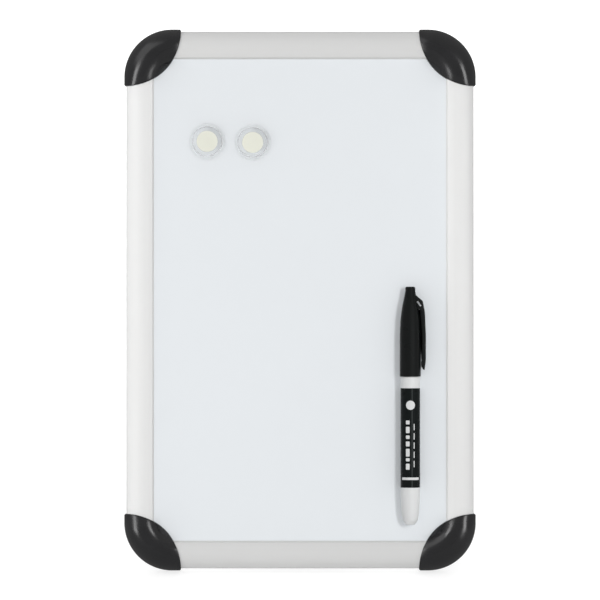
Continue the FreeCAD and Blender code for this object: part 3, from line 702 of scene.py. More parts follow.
def printed_film(colours, boxes, highlight_line):
    """Black label film with white printed boxes and a painted highlight, a lighter line down its front."""
    finish = Finish("printed_film", Specular_IOR_Level=0.08)
    place = finish.coordinates("UV")

    def box_mask(centre, half_size, corner):
        return finish.effect(printed_box, Vector=place, Centre=centre, Half_Size=half_size,
                             Corner_Radius=corner)["Mask"]

    printed = 0.0
    for box in boxes:
        printed = finish.math("MAXIMUM", printed, box_mask(*box))
    marks = finish.effect(handling_marks, Vector=finish.coordinates(), Smudge_Size=0.008)
    # Painted highlight: a lighter line down the label near its front
    line = finish.math("MULTIPLY", box_mask(*highlight_line), PAINTED_HIGHLIGHT_STRENGTH)
    scuffs = finish.math("MULTIPLY", marks["Scratch"], SCUFF_STRENGTH)
    film = finish.tint(scuffs, finish.tint(line, rgba(colours.film), PAINTED_HIGHLIGHT_COLOUR), grey(SCUFF_LEVEL))
    return finish.look(Base_Color=finish.tint(printed, film, rgba(colours.marker_white)),
                       Roughness=finish.spread(marks["Smudge"], low=0.24, high=0.36),
                       Normal=finish.bump(printed, depth=0.000006))


# Settings that a user would change

def colour_setting(name, description, default):
    """A property that holds a colour."""
    return FloatVectorProperty(name=name, description=description, subtype="COLOR", default=default,
                               min=0.0, max=1.0)


def length_setting(name, description, default, least=0.0):
    """A property that holds a length in metres."""
    return FloatProperty(name=name, description=description, default=default, unit="LENGTH", min=least)


def level_setting(name, description, default):
    """A property that holds a brightness."""
    return FloatProperty(name=name, description=description, default=default, min=0.0)


class EaselColours(bpy.types.PropertyGroup):
    """Colours of the board's finishes."""

    rail: colour_setting("Rails", "Pearl white of the extruded rails", (0.675, 0.675, 0.67))
    cap: colour_setting("Corner caps", "Graphite black of the corner caps", (0.006, 0.006, 0.007))
    lacquer: colour_setting("Writing face", "Cool white of the lacquered steel", (0.775, 0.805, 0.83))
    card: colour_setting("Backing", "Grey of the backing card", (0.50, 0.50, 0.48))
    hardboard: colour_setting("Core", "Brown of the hardboard core", (0.30, 0.19, 0.10))
    stand: colour_setting("Leg and bracket", "Black of the leg and hinge bracket", (0.022, 0.022, 0.024))
    rubber: colour_setting("Foot pad", "Black of the rubber foot", (0.03, 0.03, 0.03))
    steel: colour_setting("Fasteners", "Zinc-plated steel", (0.62, 0.62, 0.60))
    clear: colour_setting("Magnet housing", "Tint of the clear housing", (0.99, 0.995, 0.995))
    cream: colour_setting("Magnet disc", "Cream of the disc under the housing", (0.875, 0.88, 0.76))
    ferrite: colour_setting("Ferrite", "Dark grey of the marker's bare magnet", (0.06, 0.06, 0.06))
    coated: colour_setting("Coated ferrite", "Pale coat of the button magnets", (0.62, 0.62, 0.60))
    marker_white: colour_setting("Marker barrel", "White of the barrel and print", (0.78, 0.79, 0.79))
    marker_black: colour_setting("Marker cap", "Black of the marker's cap", (0.004, 0.005, 0.005))
    film: colour_setting("Label film", "Black of the marker's label", (0.004, 0.006, 0.006))
    liner: colour_setting("Cap liner", "White of the sealing liner in the marker's cap", (0.70, 0.70, 0.68))
    fibre: colour_setting("Ink fibre", "Inked fibre of the nib and reservoir", (0.02, 0.02, 0.022))


class EaselSizes(bpy.types.PropertyGroup):
    """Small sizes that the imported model's boxes don't give."""

    crown_radius: length_setting("Rail crown radius", "Radius of the rails' convex front", 0.012, 0.001)
    crest_inset: length_setting("Rail crest inset", "Crest's distance from the outer face", 0.009)
    shoulder_radius: length_setting("Rail shoulder", "Rounding of the rails' outer shoulder", 0.002, 0.0001)
    lip_width: length_setting("Lip width", "Width of the lip that lies on the panel", 0.0006)
    lip_thickness: length_setting("Lip thickness", "Thickness of the lip", 0.001)
    slot_inset: length_setting("Slot inset", "How far the panel slot stops from the outer face", 0.0052)
    rail_wall: length_setting("Rail wall", "Wall of the rails", 0.0013)
    flange_width: length_setting("Rear flange", "Width of the flange behind the panel", 0.012)
    cap_radius: length_setting("Cap radius", "Radius of the caps' outer corner", 0.027, 0.001)
    cap_overhang: length_setting("Cap overhang", "How far the caps stand out from the rails", 0.0012)
    cap_reach: length_setting("Cap reach", "From the rails' corner to the caps' front edge", 0.0308, 0.001)
    cap_wall: length_setting("Cap wall", "Cap's thickness over the rails' crest at its edge", 0.0009)
    cap_edge: length_setting("Cap rim height", "Height of the caps' outer rim", 0.0092)
    cap_swell: length_setting("Cap swell", "How much the caps' middle stands higher", 0.00188)
    cap_front_slope: length_setting("Cap front slope", "Width of the slope at the front edge", 0.009, 0.0001)
    cap_rim_slope: length_setting("Cap rim slope", "Width of the slope at the outer rim", 0.012, 0.0001)
    cap_rim_swell: FloatProperty(name="Cap rim swell", description="Share of the swell at the outer rim",
                                 default=0.35, subtype="FACTOR", min=0.0, max=1.0)
    cap_rounding: length_setting("Cap rounding", "Rounding of the caps' edges", 0.00045)
    cap_fit_gap: length_setting("Cap fit gap", "Gap between a cap and the rails in it", 0.0001)
    rail_setback: length_setting("Rail setback", "From the rails' corner to their cut ends", 0.022)
    panel_gap: length_setting("Panel gap", "Gap between the writing face and the rails' lip", 0.0001)
    pocket_wall: length_setting("Hollow wall", "Wall beside the hollows in the caps' back", 0.0009)
    pocket_depth: length_setting("Hollow depth", "Depth of the hollows in the caps' back", 0.0085)
    pocket_rib: length_setting("Hollow rib", "Ribs between the hollows", 0.0012)
    flange_thickness: length_setting("Magnet flange", "Thickness of the magnets' flange", 0.001)
    magnet_radius: length_setting("Magnet radius", "Radius of the magnets' clear body", 0.0083)
    magnet_draft: length_setting("Magnet draft", "How much wider the body is at its flange", 0.0004)
    magnet_shoulder: length_setting("Magnet shoulder", "Rounding of the magnets' front", 0.0016)
    magnet_pocket: length_setting("Magnet pocket", "Radius of the pocket in the housing", 0.006)
    magnet_roof: length_setting("Magnet roof", "Clear plastic in front of the disc", 0.00145)
    magnet_rim: length_setting("Magnet rims", "Rounding of the housing's small edges", 0.00015)
    disc_edge: length_setting("Disc edges", "Rounding of the discs' edges", 0.0001)
    screw_radius: length_setting("Screw head", "Radius of the screws' pan heads", 0.0029)
    screw_height: length_setting("Screw head height", "Height of the screws' pan heads", 0.0017)
    shank_radius: length_setting("Screw shank", "Radius of the screws' shanks", 0.0014)
    shank_length: length_setting("Screw length", "Length of the screws under their heads", 0.005)
    recess_length: length_setting("Recess length", "Length of the screws' cross recess", 0.0032)
    recess_width: length_setting("Recess width", "Width of the screws' cross recess", 0.0008)
    recess_depth: length_setting("Recess depth", "Depth of the screws' cross recess", 0.0011)
    label_thickness: length_setting("Label thickness", "Thickness of the label's sleeve", 0.00015)
    label_edge: length_setting("Label edge", "Rounding of the label's ends", 0.00005)
    cap_bore: length_setting("Marker cap bore", "Radius of the marker cap's hollow", 0.005)
    cap_bore_depth: length_setting("Marker cap bore depth", "Depth of the marker cap's hollow", 0.0289)
    cap_mouth_edge: length_setting("Marker cap mouth", "Rounding of the marker cap's mouth", 0.0002)
    button_rounding: length_setting("Marker cap end", "Rounding of the marker cap's end", 0.0008)
    clip_width: length_setting("Clip width", "Width of the marker's clip", 0.0046)
    clip_edge: length_setting("Clip edges", "Rounding of the clip's long edges", 0.00035)
    window_width: length_setting("Window width", "Width of the window at the clip's root", 0.001)
    window_length: length_setting("Window length", "Length of the window at the clip's root", 0.0034)
    window_angle: FloatProperty(name="Window angle", description="Slant of the window at the clip's root",
                                subtype="ANGLE", default=math.radians(35.0))
    moulding_edge: length_setting("Moulded edges", "Rounding of the mouldings' edges", 0.0003)
    rail_edge: length_setting("Rail edges", "Rounding of the rails' small edges", 0.0002)


class EaselStage(bpy.types.PropertyGroup):
    """Camera, lights and floor."""

    camera_distance: length_setting("Camera distance", "From the writing face to the camera", 3.0, 0.3)
    view_width: length_setting("View width", "Width that the camera sees at the writing face", 0.339, 0.05)
    front_radiance: level_setting("Front light", "Brightness of the softbox round the camera", 1.7)
    marker_radiance: level_setting("Marker light", "Brightness of the softbox for the marker", 24.0)
    magnet_radiance: level_setting("Magnet light", "Brightness of the softbox for the magnets", 10.0)
    key_radiance: level_setting("Left strip", "Brightness of the left strip light", 12.0)
    fill_radiance: level_setting("Right strip", "Brightness of the right strip light", 12.0)
    card_radiance: level_setting("Left card", "Brightness of the broad card at the left", 2.2)
    marker_gloss: level_setting("Marker gloss", "Radiance of the card that the marker shows", 0.9)
    sheen_radiance: level_setting("Rail sheen", "Brightness of the cards that the rails mirror", 3.6)
    back_radiance: level_setting("Back light", "Brightness of the softbox behind the board", 2.0)
    ambient: level_setting("Ambient light", "Strength of the light from all round", 0.5)
    floor: colour_setting("Floor", "Colour of the floor", (0.8, 0.8, 0.8))


# Operators

class BoardOperator:
    """What every operator of this add-on shares."""

    bl_options = {"REGISTER", "UNDO"}


# Rails

RAIL_NODES = ("rail_left", "rail_right", "rail_top", "rail_bottom")


def rail_section(sizes, width, depth, face):
    """Section of a rail: (inset from the outer face, height over its back)."""
    radius, crest = sizes.crown_radius, sizes.crest_inset
    centre = Vector((crest, depth - radius))
    shoulder = sizes.shoulder_radius
    rise = math.sqrt((radius - shoulder) ** 2 - (crest - shoulder) ** 2)
    low = Vector((0.0, centre.y + rise))
    pivot = Vector((shoulder, low.y))
    high = centre + (pivot - centre).normalized() * radius
    bend = pivot + (high - pivot + low - pivot).normalized() * shoulder
    inner = width - sizes.lip_width
    drop = centre.y + math.sqrt(radius ** 2 - (inner - crest) ** 2)
    lip = face + sizes.lip_thickness
    return [Vector((0.0, 0.0)), low, *arc_through(low, bend, high, CORNER_STEPS),
            *arc_through(high, (crest, depth), (inner, drop), 2 * ARC_STEPS),
            Vector((inner, lip)), Vector((width, lip)), Vector((width, face)),
            Vector((sizes.slot_inset, face)), Vector((sizes.slot_inset, sizes.rail_wall)),
            Vector((sizes.flange_width, sizes.rail_wall)), Vector((sizes.flange_width, 0.0))]


def rail_rows(name, section):
    """The section placed at both ends of a rail."""
    low, high = reach(name)
    back = low.z
    if name in ("rail_left", "rail_right"):
        outer, inward = (low.x, 1.0) if name == "rail_left" else (high.x, -1.0)
        return [[Vector((outer + inward * inset, end, back + rise)) for inset, rise in section]
                for end in (low.y, high.y)]
    outer, inward = (low.y, 1.0) if name == "rail_bottom" else (high.y, -1.0)
    return [[Vector((end, outer + inward * inset, back + rise)) for inset, rise in section]
            for end in (low.x, high.x)]


class EASEL_OT_rails(BoardOperator, bpy.types.Operator):
    """Extrude the four rails with their crown, lip and slot"""

    bl_idname = "easel.rails"
    bl_label = "Rails"

    def execute(self, context):
        sizes = context.scene.easel_sizes
        finish = pearl_extrusion(context.scene.easel_colours)
        face = reach("writing_sheet")[1].z - reach("rail_left")[0].z + sizes.panel_gap
        for name in RAIL_NODES:
            low, high = reach(name)
            width = min(high.x - low.x, high.y - low.y)
            section = rail_section(sizes, width, high.z - low.z, face)
            rows = rail_rows(name, section)
            mesh = rows_mesh(name + "_skin", rows, end_faces=True)
            piece = board_piece(name + "_extrusion", mesh, "board", "rail_finish", finish, name)
            soften_edges(piece, sizes.rail_edge)
        return {"FINISHED"}


# Corner caps

CAP_NODES = ("corner_cap_top_left", "corner_cap_top_right", "corner_cap_bottom_left",
             "corner_cap_bottom_right")
# Slices along a cap's leaf and steps across it
CAP_SLICES = 72
CAP_STEPS = 30
# How far a cutter for the caps' hollows stands out behind them
CUTTER_OVERHANG = 0.01
# Angles round a cap's centre at which its ring of hollows starts, has ribs and ends
POCKET_ENDS = (14.0, 30.0, 60.0, 76.0)


def cap_dome(sizes, depth, across, along):
    """Height of a cap's dome at distances from the two rails' outer faces.

    It follows the rails' crown round the corner and swells away from its front edge.
    """
    centre = sizes.cap_radius - sizes.cap_overhang
    away = math.hypot(max(centre - across, 0.0), max(centre - along, 0.0))
    crest = depth + sizes.cap_wall
    fall = crest - sizes.cap_edge
    run = sizes.cap_overhang + sizes.crest_inset
    radius = (run ** 2 + fall ** 2) / (2 * fall)
    crown = crest - radius + math.sqrt(radius ** 2 - (away - centre + sizes.crest_inset) ** 2)
    from_front = min((sizes.cap_reach - math.hypot(across, along)) / sizes.cap_front_slope, 1.0)
    from_rim = min((sizes.cap_radius - away) / sizes.cap_rim_slope, 1.0)
    rim_share = 1 - (1 - sizes.cap_rim_swell) * (1 - from_rim) ** 2
    return crown + sizes.cap_swell * (1 - (1 - from_front) ** 2) * rim_share


def cap_section(sizes, depth, place):
    """One slice of a cap across its leaf, from its back rim over the dome to its front edge."""
    centre = sizes.cap_radius - sizes.cap_overhang
    if abs(place) < (centre + sizes.cap_overhang) * DIAGONAL:
        rim = centre / DIAGONAL - math.sqrt(sizes.cap_radius ** 2 - place ** 2)
    else:
        rim = abs(place) - sizes.cap_overhang / DIAGONAL
    front = math.sqrt(sizes.cap_reach ** 2 - place ** 2)
    fillet = min(sizes.cap_rounding, (front - rim) / 3)

    def spot(inward):
        """Distances from the two rails' outer faces, at one along the slice."""
        return (inward + place) * DIAGONAL, (inward - place) * DIAGONAL

    def dome(inward):
        """Height of the dome there."""
        return cap_dome(sizes, depth, *spot(inward))

    def turn_over(edge, inner):
        """The small rounding between a side wall and the dome."""
        wall, corner = Vector((edge, dome(edge) - fillet)), Vector((edge, dome(edge)))
        over = Vector((inner, dome(inner)))
        shares = [step / CORNER_STEPS for step in range(CORNER_STEPS + 1)]
        return [wall * (1 - s) ** 2 + corner * 2 * s * (1 - s) + over * s ** 2 for s in shares]

    low, start, end = -sizes.cap_overhang, rim + fillet, front - fillet
    shares = [(1 - math.cos(math.pi * step / CAP_STEPS)) / 2 for step in range(1, CAP_STEPS)]
    flat = [Vector((start, low)), Vector((rim, low + fillet)), *turn_over(rim, start)]
    between = [start + (end - start) * share for share in shares]
    flat += [Vector((inward, dome(inward))) for inward in between]
    flat += [*turn_over(front, end)[::-1], Vector((front, low + fillet)), Vector((end, low))]
    return [Vector((*spot(inward), out)) for inward, out in flat]


def cap_leaf(sizes, depth):
    """The domed leaf of a cap, from one tip to the other."""
    reached = math.sqrt(sizes.cap_reach ** 2 - sizes.cap_overhang ** 2)
    tip = (reached + sizes.cap_overhang) * DIAGONAL - sizes.cap_rounding
    turns = [math.pi * (step / CAP_SLICES - 0.5) for step in range(CAP_SLICES + 1)]
    rows = [cap_section(sizes, depth, tip * math.sin(turn)) for turn in turns]
    return rows_mesh("cap", rows, end_faces=True)


def crown_height(sizes, depth, inset, gap):
    """Height at an inset of a hollow that clears the rails' crown by a gap."""
    radius = sizes.crown_radius + gap
    return depth - sizes.crown_radius + math.sqrt(radius ** 2 - (inset - sizes.crest_inset) ** 2)


def rail_socket(sizes, depth, width, face):
    """Room for a rail in a cap: (inset, height) with the fit gap all round."""
    gap = sizes.cap_fit_gap
    inner = width - sizes.lip_width + gap
    arc = arc_through((-gap, crown_height(sizes, depth, -gap, gap)), (sizes.crest_inset, depth + gap),
                      (inner, crown_height(sizes, depth, inner, gap)))
    lip = face + sizes.lip_thickness + gap
    return [Vector((-gap, -gap)), Vector((-gap, crown_height(sizes, depth, -gap, gap))), *arc,
            Vector((inner, lip)), Vector((width + gap, lip)), Vector((width + gap, -gap))]


def pocket_sector(centre, radii, roof, start, end, rib):
    """One hollow of the ring of hollows in a cap's back, between two ribs."""
    steps = CORNER_STEPS * 2
    edge = []
    for radius in radii:
        trim = math.asin(rib / 2 / radius)
        angles = [start + trim + (end - start - 2 * trim) * step / steps for step in range(steps + 1)]
        arc = [(centre - radius * math.cos(angle), centre - radius * math.sin(angle)) for angle in angles]
        edge += arc if radius == radii[0] else arc[::-1]
    rows = [[Vector((across, along, out)) for across, along in edge] for out in (-CUTTER_OVERHANG, roof)]
    return rows_mesh("hollow", rows, end_faces=True)


def cap_cutters(sizes, depth, width, face):
    """The rails' sockets, the panel's slot and the ring of hollows at the back."""
    centre = sizes.cap_radius - sizes.cap_overhang
    gap = sizes.cap_fit_gap
    section = rail_socket(sizes, depth, width, face)
    start, end = sizes.rail_setback - gap, 2 * sizes.cap_reach
    side = rows_mesh("side_socket", [[Vector((p.x, y, p.y)) for p in section] for y in (start, end)],
                     end_faces=True)
    foot = rows_mesh("foot_socket", [[Vector((x, p.x, p.y)) for p in section] for x in (start, end)],
                     end_faces=True)
    inset = sizes.slot_inset
    bend = (centre - inset) * DIAGONAL
    corner = arc_through((inset, centre), (centre - bend, centre - bend), (centre, inset))
    plan = [Vector((inset, centre)), *corner, Vector((end, inset)), Vector((end, end)), Vector((inset, end))]
    slot = rows_mesh("slot", [[Vector((p.x, p.y, out)) for p in plan] for out in (sizes.rail_wall, face)],
                     end_faces=True)
    radii = (centre - inset + sizes.pocket_wall, sizes.cap_radius - 2 * sizes.pocket_wall)
    ends = [math.radians(angle) for angle in POCKET_ENDS]
    hollows = [pocket_sector(centre, radii, sizes.pocket_depth, first, last, sizes.pocket_rib)
               for first, last in zip(ends, ends[1:])]
    return side, foot, slot, joined_mesh("hollows", hollows)


class EASEL_OT_corner_caps(BoardOperator, bpy.types.Operator):
    """Mould the four domed corner caps"""

    bl_idname = "easel.corner_caps"
    bl_label = "Corner caps"

    def execute(self, context):
        sizes = context.scene.easel_sizes
        finish = black_moulding("cap_moulding", context.scene.easel_colours.cap, roughness=0.2,
                                grain_size=0.0003, grain_depth=0.000001)
        left, right = reach("rail_left"), reach("rail_right")
        foot, head = reach("rail_bottom"), reach("rail_top")
        depth, width = left[1].z - left[0].z, left[1].x - left[0].x
        face = reach("writing_sheet")[1].z - left[0].z + sizes.panel_gap
        cap = carved(cap_leaf(sizes, depth), *cap_cutters(sizes, depth, width, face))
        for name in CAP_NODES:
            across, corner_x = (1, left[0].x) if name.endswith("left") else (-1, right[1].x)
            up, corner_y = (1, foot[0].y) if "bottom" in name else (-1, head[1].y)
            mesh = cap.copy()
            mesh.name = name + "_skin"
            mesh.transform(Matrix.Translation((corner_x, corner_y, left[0].z))
                           @ Matrix.Diagonal((across, up, 1, 1)))
            if across * up < 0:
                mesh.flip_normals()
            board_piece(name + "_moulding", mesh, "board", "cap_plastic", finish, name)
        return {"FINISHED"}


# Panel

class EASEL_OT_panel(BoardOperator, bpy.types.Operator):
    """Finish the writing sheet, its core and its backing"""

    bl_idname = "easel.panel"
    bl_label = "Panel"

    def execute(self, context):
        colours = context.scene.easel_colours
        dress("writing_sheet", writing_lacquer(colours))
        dress("core_board", pressed_hardboard(colours))
        dress("backing_sheet", backing_card(colours))
        return {"FINISHED"}


# Leg, hinge bracket and screws

# Steps round a screw's head, and how far each screw is turned, in degrees
SCREW_STEPS = 40
SCREW_TURNS = (20.0, 65.0, 48.0, 5.0)
# Curve of a screw's head as shares of its radius and height, and of its recess's outline: floor, top
SCREW_DOME = ((1.0, 0.2), (0.86, 0.62), (0.55, 0.93))
RECESS_TAPER = (0.6, 1.1)


def screw_head(sizes):
    """A pan head with a cross recess and a short shank, standing on its plate at height 0."""
    radius, height = sizes.screw_radius, sizes.screw_height
    curve = [(share * radius, rise * height) for share, rise in SCREW_DOME]
    dome = [(radius, 0.0), *arc_through(*curve, CORNER_STEPS), (0.0, height)]
    shank = [(radius, 0.0), (sizes.shank_radius, 0.0), (sizes.shank_radius, -sizes.shank_length),
             (0.0, -sizes.shank_length)]
    head = turned_mesh("screw", Vector(), Z_AXIS, X_AXIS, dome, shank, steps=SCREW_STEPS)
    long_half, thin_half = sizes.recess_length / 2, sizes.recess_width / 2
    deep = height - sizes.recess_depth
    slots = []
    for across, along in ((long_half, thin_half), (thin_half, long_half)):
        outline = rectangle((-across, -along), (across, along))
        rows = [[Vector((x * share, y * share, out)) for x, y in outline]
                for share, out in zip(RECESS_TAPER, (deep, 2 * height))]
        slots.append(rows_mesh("recess", rows, end_faces=True))
    return carved(head, *slots)


class EASEL_OT_stand(BoardOperator, bpy.types.Operator):
    """Finish the hinge bracket and leg, and drive the four screws"""

    bl_idname = "easel.stand"
    bl_label = "Stand"

    def execute(self, context):
        colours, sizes = context.scene.easel_colours, context.scene.easel_sizes
        moulding = black_moulding("stand_moulding", colours.stand, roughness=0.5, grain_size=0.0005,
                                  grain_depth=0.00002)
        steel = plated_steel(colours)
        dress("hinge_bracket", moulding, sizes.moulding_edge)
        dress("easel_leg", moulding, sizes.moulding_edge)
        dress("leg_foot_pad", foot_rubber(colours), sizes.moulding_edge)
        dress("hinge_pin", steel, sizes.moulding_edge)
        dress("pin_washer", steel, sizes.moulding_edge)
        low, high = reach("bracket_screws")
        plate = low.z + sizes.screw_height
        screw = screw_head(sizes)
        places = [(x, y) for x in (low.x + sizes.screw_radius, high.x - sizes.screw_radius)
                  for y in (low.y + sizes.screw_radius, high.y - sizes.screw_radius)]
        screws = []
        for (across, along), turn in zip(places, SCREW_TURNS):
            mesh = screw.copy()
            mesh.transform(Matrix.Translation((across, along, plate)) @ Matrix.Rotation(math.pi, 4, "X")
                           @ Matrix.Rotation(math.radians(turn), 4, "Z"))
            screws.append(mesh)
        board_piece("bracket_screw_set", joined_mesh("screws", screws), "board", "fastener_steel", steel,
                    "bracket_screws")
        return {"FINISHED"}


# Magnets

def magnet_housing(sizes, name):
    """The clear housing: flange, drafted body with a round shoulder, and its pocket."""
    low, high = reach(name)
    centre = (low + high) / 2
    flange, height = (high.x - low.x) / 2, high.z - low.z
    step, body, pocket = sizes.flange_thickness, sizes.magnet_radius, sizes.magnet_pocket
    outer = softened([
        (pocket, 0.0), (flange, 0.0, sizes.magnet_rim), (flange, step, 2 * sizes.magnet_rim),
        (body + sizes.magnet_draft, step, sizes.magnet_rim), (body, height, sizes.magnet_shoulder),
        (0.0, height)])
    roof = height - sizes.magnet_roof
    inner = softened([(0.0, roof), (pocket, roof, sizes.magnet_rim), (pocket, 0.0)])
    return turned_mesh(name, Vector((centre.x, centre.y, low.z)), Z_AXIS, Y_AXIS, outer, inner)


def round_plate(name, edge):
    """A disc with softened rims in place of a packed one."""
    low, high = reach(name)
    centre, radius, height = (low + high) / 2, (high.x - low.x) / 2, high.z - low.z
    profile = softened([(0.0, 0.0), (radius, 0.0, edge), (radius, height, edge), (0.0, height)])
    return turned_mesh(name, Vector((centre.x, centre.y, low.z)), Z_AXIS, Y_AXIS, profile)


class EASEL_OT_magnets(BoardOperator, bpy.types.Operator):
    """Build the two clear magnets with their cream discs"""

    bl_idname = "easel.magnets"
    bl_label = "Magnets"

    def execute(self, context):
        colours, sizes = context.scene.easel_colours, context.scene.easel_sizes
        clear = clear_acrylic(colours)
        cream = plain_moulding("cream_disc", colours.cream, roughness=0.5)
        ferrite = plain_moulding("coated_ferrite", colours.coated, roughness=0.5)
        for side in ("left", "right"):
            body = "magnet_" + side
            parts = (("_housing", magnet_housing(sizes, body + "_housing"), "magnet_clear", clear),
                     ("_cover", round_plate(body + "_cover", sizes.disc_edge), "magnet_cream", cream),
                     ("_disc", round_plate(body + "_disc", sizes.disc_edge), "magnet_ferrite", ferrite))
            for part, mesh, slot, finish in parts:
                board_piece(body + part + "_piece", mesh, body, slot, finish, body + part)
        return {"FINISHED"}


# Marker

# A millimetre
MM = 0.001
# Profiles of the marker in mm from its foot: (radius, along) and a rounding where there is one
BARREL_OUTSIDE = ((4.3, 77.0), (5.35, 77.0), (5.35, 21.0), (5.5, 21.0, 0.05), (5.5, 16.0, 30.0),
                  (5.0, 7.0, 12.0), (4.2, 2.4, 2.0), (2.5, 0.0, 1.2), (0.0, 0.0))
BARREL_INSIDE = ((0.0, 17.0), (4.3, 17.0, 0.5), (4.3, 77.0))
FRONT_OUTSIDE = ((1.95, 65.0), (4.25, 65.0), (4.25, 77.0), (5.5, 77.0, 0.15), (5.5, 83.3, 0.2),
                 (4.3, 83.3, 0.2), (4.3, 95.0, 0.6), (2.6, 101.0, 0.3), (1.95, 101.0))
FRONT_INSIDE = ((1.95, 101.0), (1.95, 65.0))
# The marker cap's outside in mm from its mouth, from the straight skirt to the end button
CAP_TAPER = ((5.93, 23.0), (5.84, 26.5), (5.63, 30.5), (5.27, 34.5), (4.7, 38.5), (4.06, 41.8), (3.6, 44.0),
             (3.27, 45.6), (2.82, 48.2))
# The clip's outline in mm from the cap's axis and mouth, with its roundings, and its window's middle
CLIP_CORNERS = ((2.2, 46.6, 0.3), (7.0, 42.6, 2.2), (8.2, 36.2, 14.0), (8.76, 23.2, 20.0), (8.76, 9.1, 6.0),
                (7.9, 2.8, 0.45), (6.13, 5.8, 0.5), (6.13, 8.5, 0.3), (6.66, 8.8, 0.3), (6.66, 23.2, 12.0),
                (5.4, 37.9, 0.5), (0.5, 37.9, 0.3), (0.5, 46.2, 0.3))
WINDOW_PLACE = (4.9, 41.0)
# Where the clip's rounded long edges have points, in degrees from its side
CLIP_EDGE_TURNS = (90.0, 45.0, 0.0)
# How far a mitre in the clip's inset outline may reach: the least cosine of half its turn
LEAST_MITRE = 0.5
# Bars printed on the label in mm: place above its foot and half height
PRINT_BARS = ((12.0, 1.7), (15.9, 0.9), (19.9, 2.2), (24.8, 1.4), (28.6, 1.0), (32.7, 1.8), (36.9, 1.1))
# Dashes printed beside them in mm: place of the first, way to the next, and their number
DASH_START, DASH_PITCH, DASH_COUNT = 13.5, 5.2, 5


def print_box(across, up, half_width, half_height, rounding):
    """Centre, half size and rounding of a printed box, in metres from the label's front line and foot."""
    return (across, up, 0.0), (half_width, half_height, 0.0), rounding


DASHES = [(DASH_START + DASH_PITCH * dash) * MM for dash in range(DASH_COUNT)]
PRINT_BOXES = (
    *(print_box(-0.0016, place * MM, 0.0011, half * MM, 0.0004) for place, half in PRINT_BARS),
    *(print_box(0.0021, place, 0.00026, 0.0018, 0.0002) for place in DASHES),
    print_box(0.0, 0.0466, 0.0026, 0.0026, 0.0026),
    print_box(0.0, 0.0052, 0.0056, 0.0007, 0.0003))
# A painted highlight on the label: a faint lighter line near its front, placed like a printed box
PAINTED_HIGHLIGHT_LINE = print_box(0.0009, 0.028, 0.00022, 0.04, 0.0001)


def in_metres(corners):
    """Corners given in mm, with their roundings."""
    return [tuple(size * MM for size in corner) for corner in corners]


def inset_loop(points, distance):
    """A flat closed loop moved inward along the mean of its neighbouring edges' normals."""
    area = sum(a.x * b.y - a.y * b.x for a, b in zip(points, points[1:] + points[:1]))
    side = 1 if area > 0 else -1
    moved = []
    for before, here, after in zip(points[-1:] + points[:-1], points, points[1:] + points[:1]):
        first, second = (here - before).normalized(), (after - here).normalized()
        normal = Vector((-first.y - second.y, first.x + second.x)).normalized()
        cosine = max(normal.dot(Vector((-first.y, first.x))), LEAST_MITRE)
        moved.append(here + normal * side * distance / cosine)
    return moved


def pocket_clip(sizes, centre):
    """The cap's clip: root on the shoulder, long springing bar and an inward hook."""
    loop = softened(in_metres(CLIP_CORNERS), closed=True)
    half, edge = sizes.clip_width / 2, sizes.clip_edge
    rows = []
    for turn in map(math.radians, CLIP_EDGE_TURNS):
        inner = inset_loop(loop, edge * (1 - math.cos(turn)))
        rows.append([Vector((p.x, p.y, -half + edge * (1 - math.sin(turn)))) for p in inner])
    mirrored = [[Vector((p.x, p.y, -p.z)) for p in row] for row in reversed(rows)]
    return rows_mesh("clip", [[centre + p for p in row] for row in rows + mirrored], end_faces=True)


def clip_window(sizes, centre):
    """The small slanted window at the clip's root."""
    half = (sizes.window_width / 2, sizes.window_length / 2, sizes.clip_width)
    mesh = block_mesh("window", [-size for size in half], half)
    radius, along = (size * MM for size in WINDOW_PLACE)
    mesh.transform(Matrix.Translation(centre + Vector((radius, along, 0.0)))
                   @ Matrix.Rotation(sizes.window_angle, 4, "Z"))
    return mesh


class EASEL_OT_marker(BoardOperator, bpy.types.Operator):
    """Turn the marker's barrel, front section and label, and finish what is inside"""

    bl_idname = "easel.marker"
    bl_label = "Marker"

    def execute(self, context):
        colours, sizes = context.scene.easel_colours, context.scene.easel_sizes
        white = plain_moulding("marker_white", colours.marker_white, roughness=0.35)
        axis = middle("marker_barrel")
        foot = reach("marker_barrel")[0].y
        centre = Vector((axis.x, foot, axis.z))
        for name, profiles in (("marker_barrel", (BARREL_OUTSIDE, BARREL_INSIDE)),
                               ("marker_front_section", (FRONT_OUTSIDE, FRONT_INSIDE))):
            curves = [softened(in_metres(profile)) for profile in profiles]
            mesh = turned_mesh(name, centre, Y_AXIS, Z_AXIS, *curves)
            board_piece(name + "_piece", mesh, "marker", "marker_white", white, name)
        low, high = reach("marker_label")
        radius, edge = (high.x - low.x) / 2, sizes.label_edge
        inner = radius - sizes.label_thickness
        sleeve = softened([(inner, low.y), (radius, low.y, edge), (radius, high.y, edge), (inner, high.y)])
        mesh = turned_mesh("label_sleeve", Vector((axis.x, 0.0, axis.z)), Y_AXIS, Z_AXIS, sleeve,
                           [sleeve[-1], sleeve[0]])
        film = printed_film(colours, PRINT_BOXES, PAINTED_HIGHLIGHT_LINE)
        board_piece("marker_label_sleeve", mesh, "marker", "label_print", film, "marker_label")
        dress("marker_magnet", plain_moulding("tail_magnet", colours.ferrite, roughness=0.6, tone=0.2))
        fibre = rough_fibre("inked_fibre", colours.fibre)
        dress("marker_nib", fibre)
        dress("marker_reservoir", fibre)
        return {"FINISHED"}


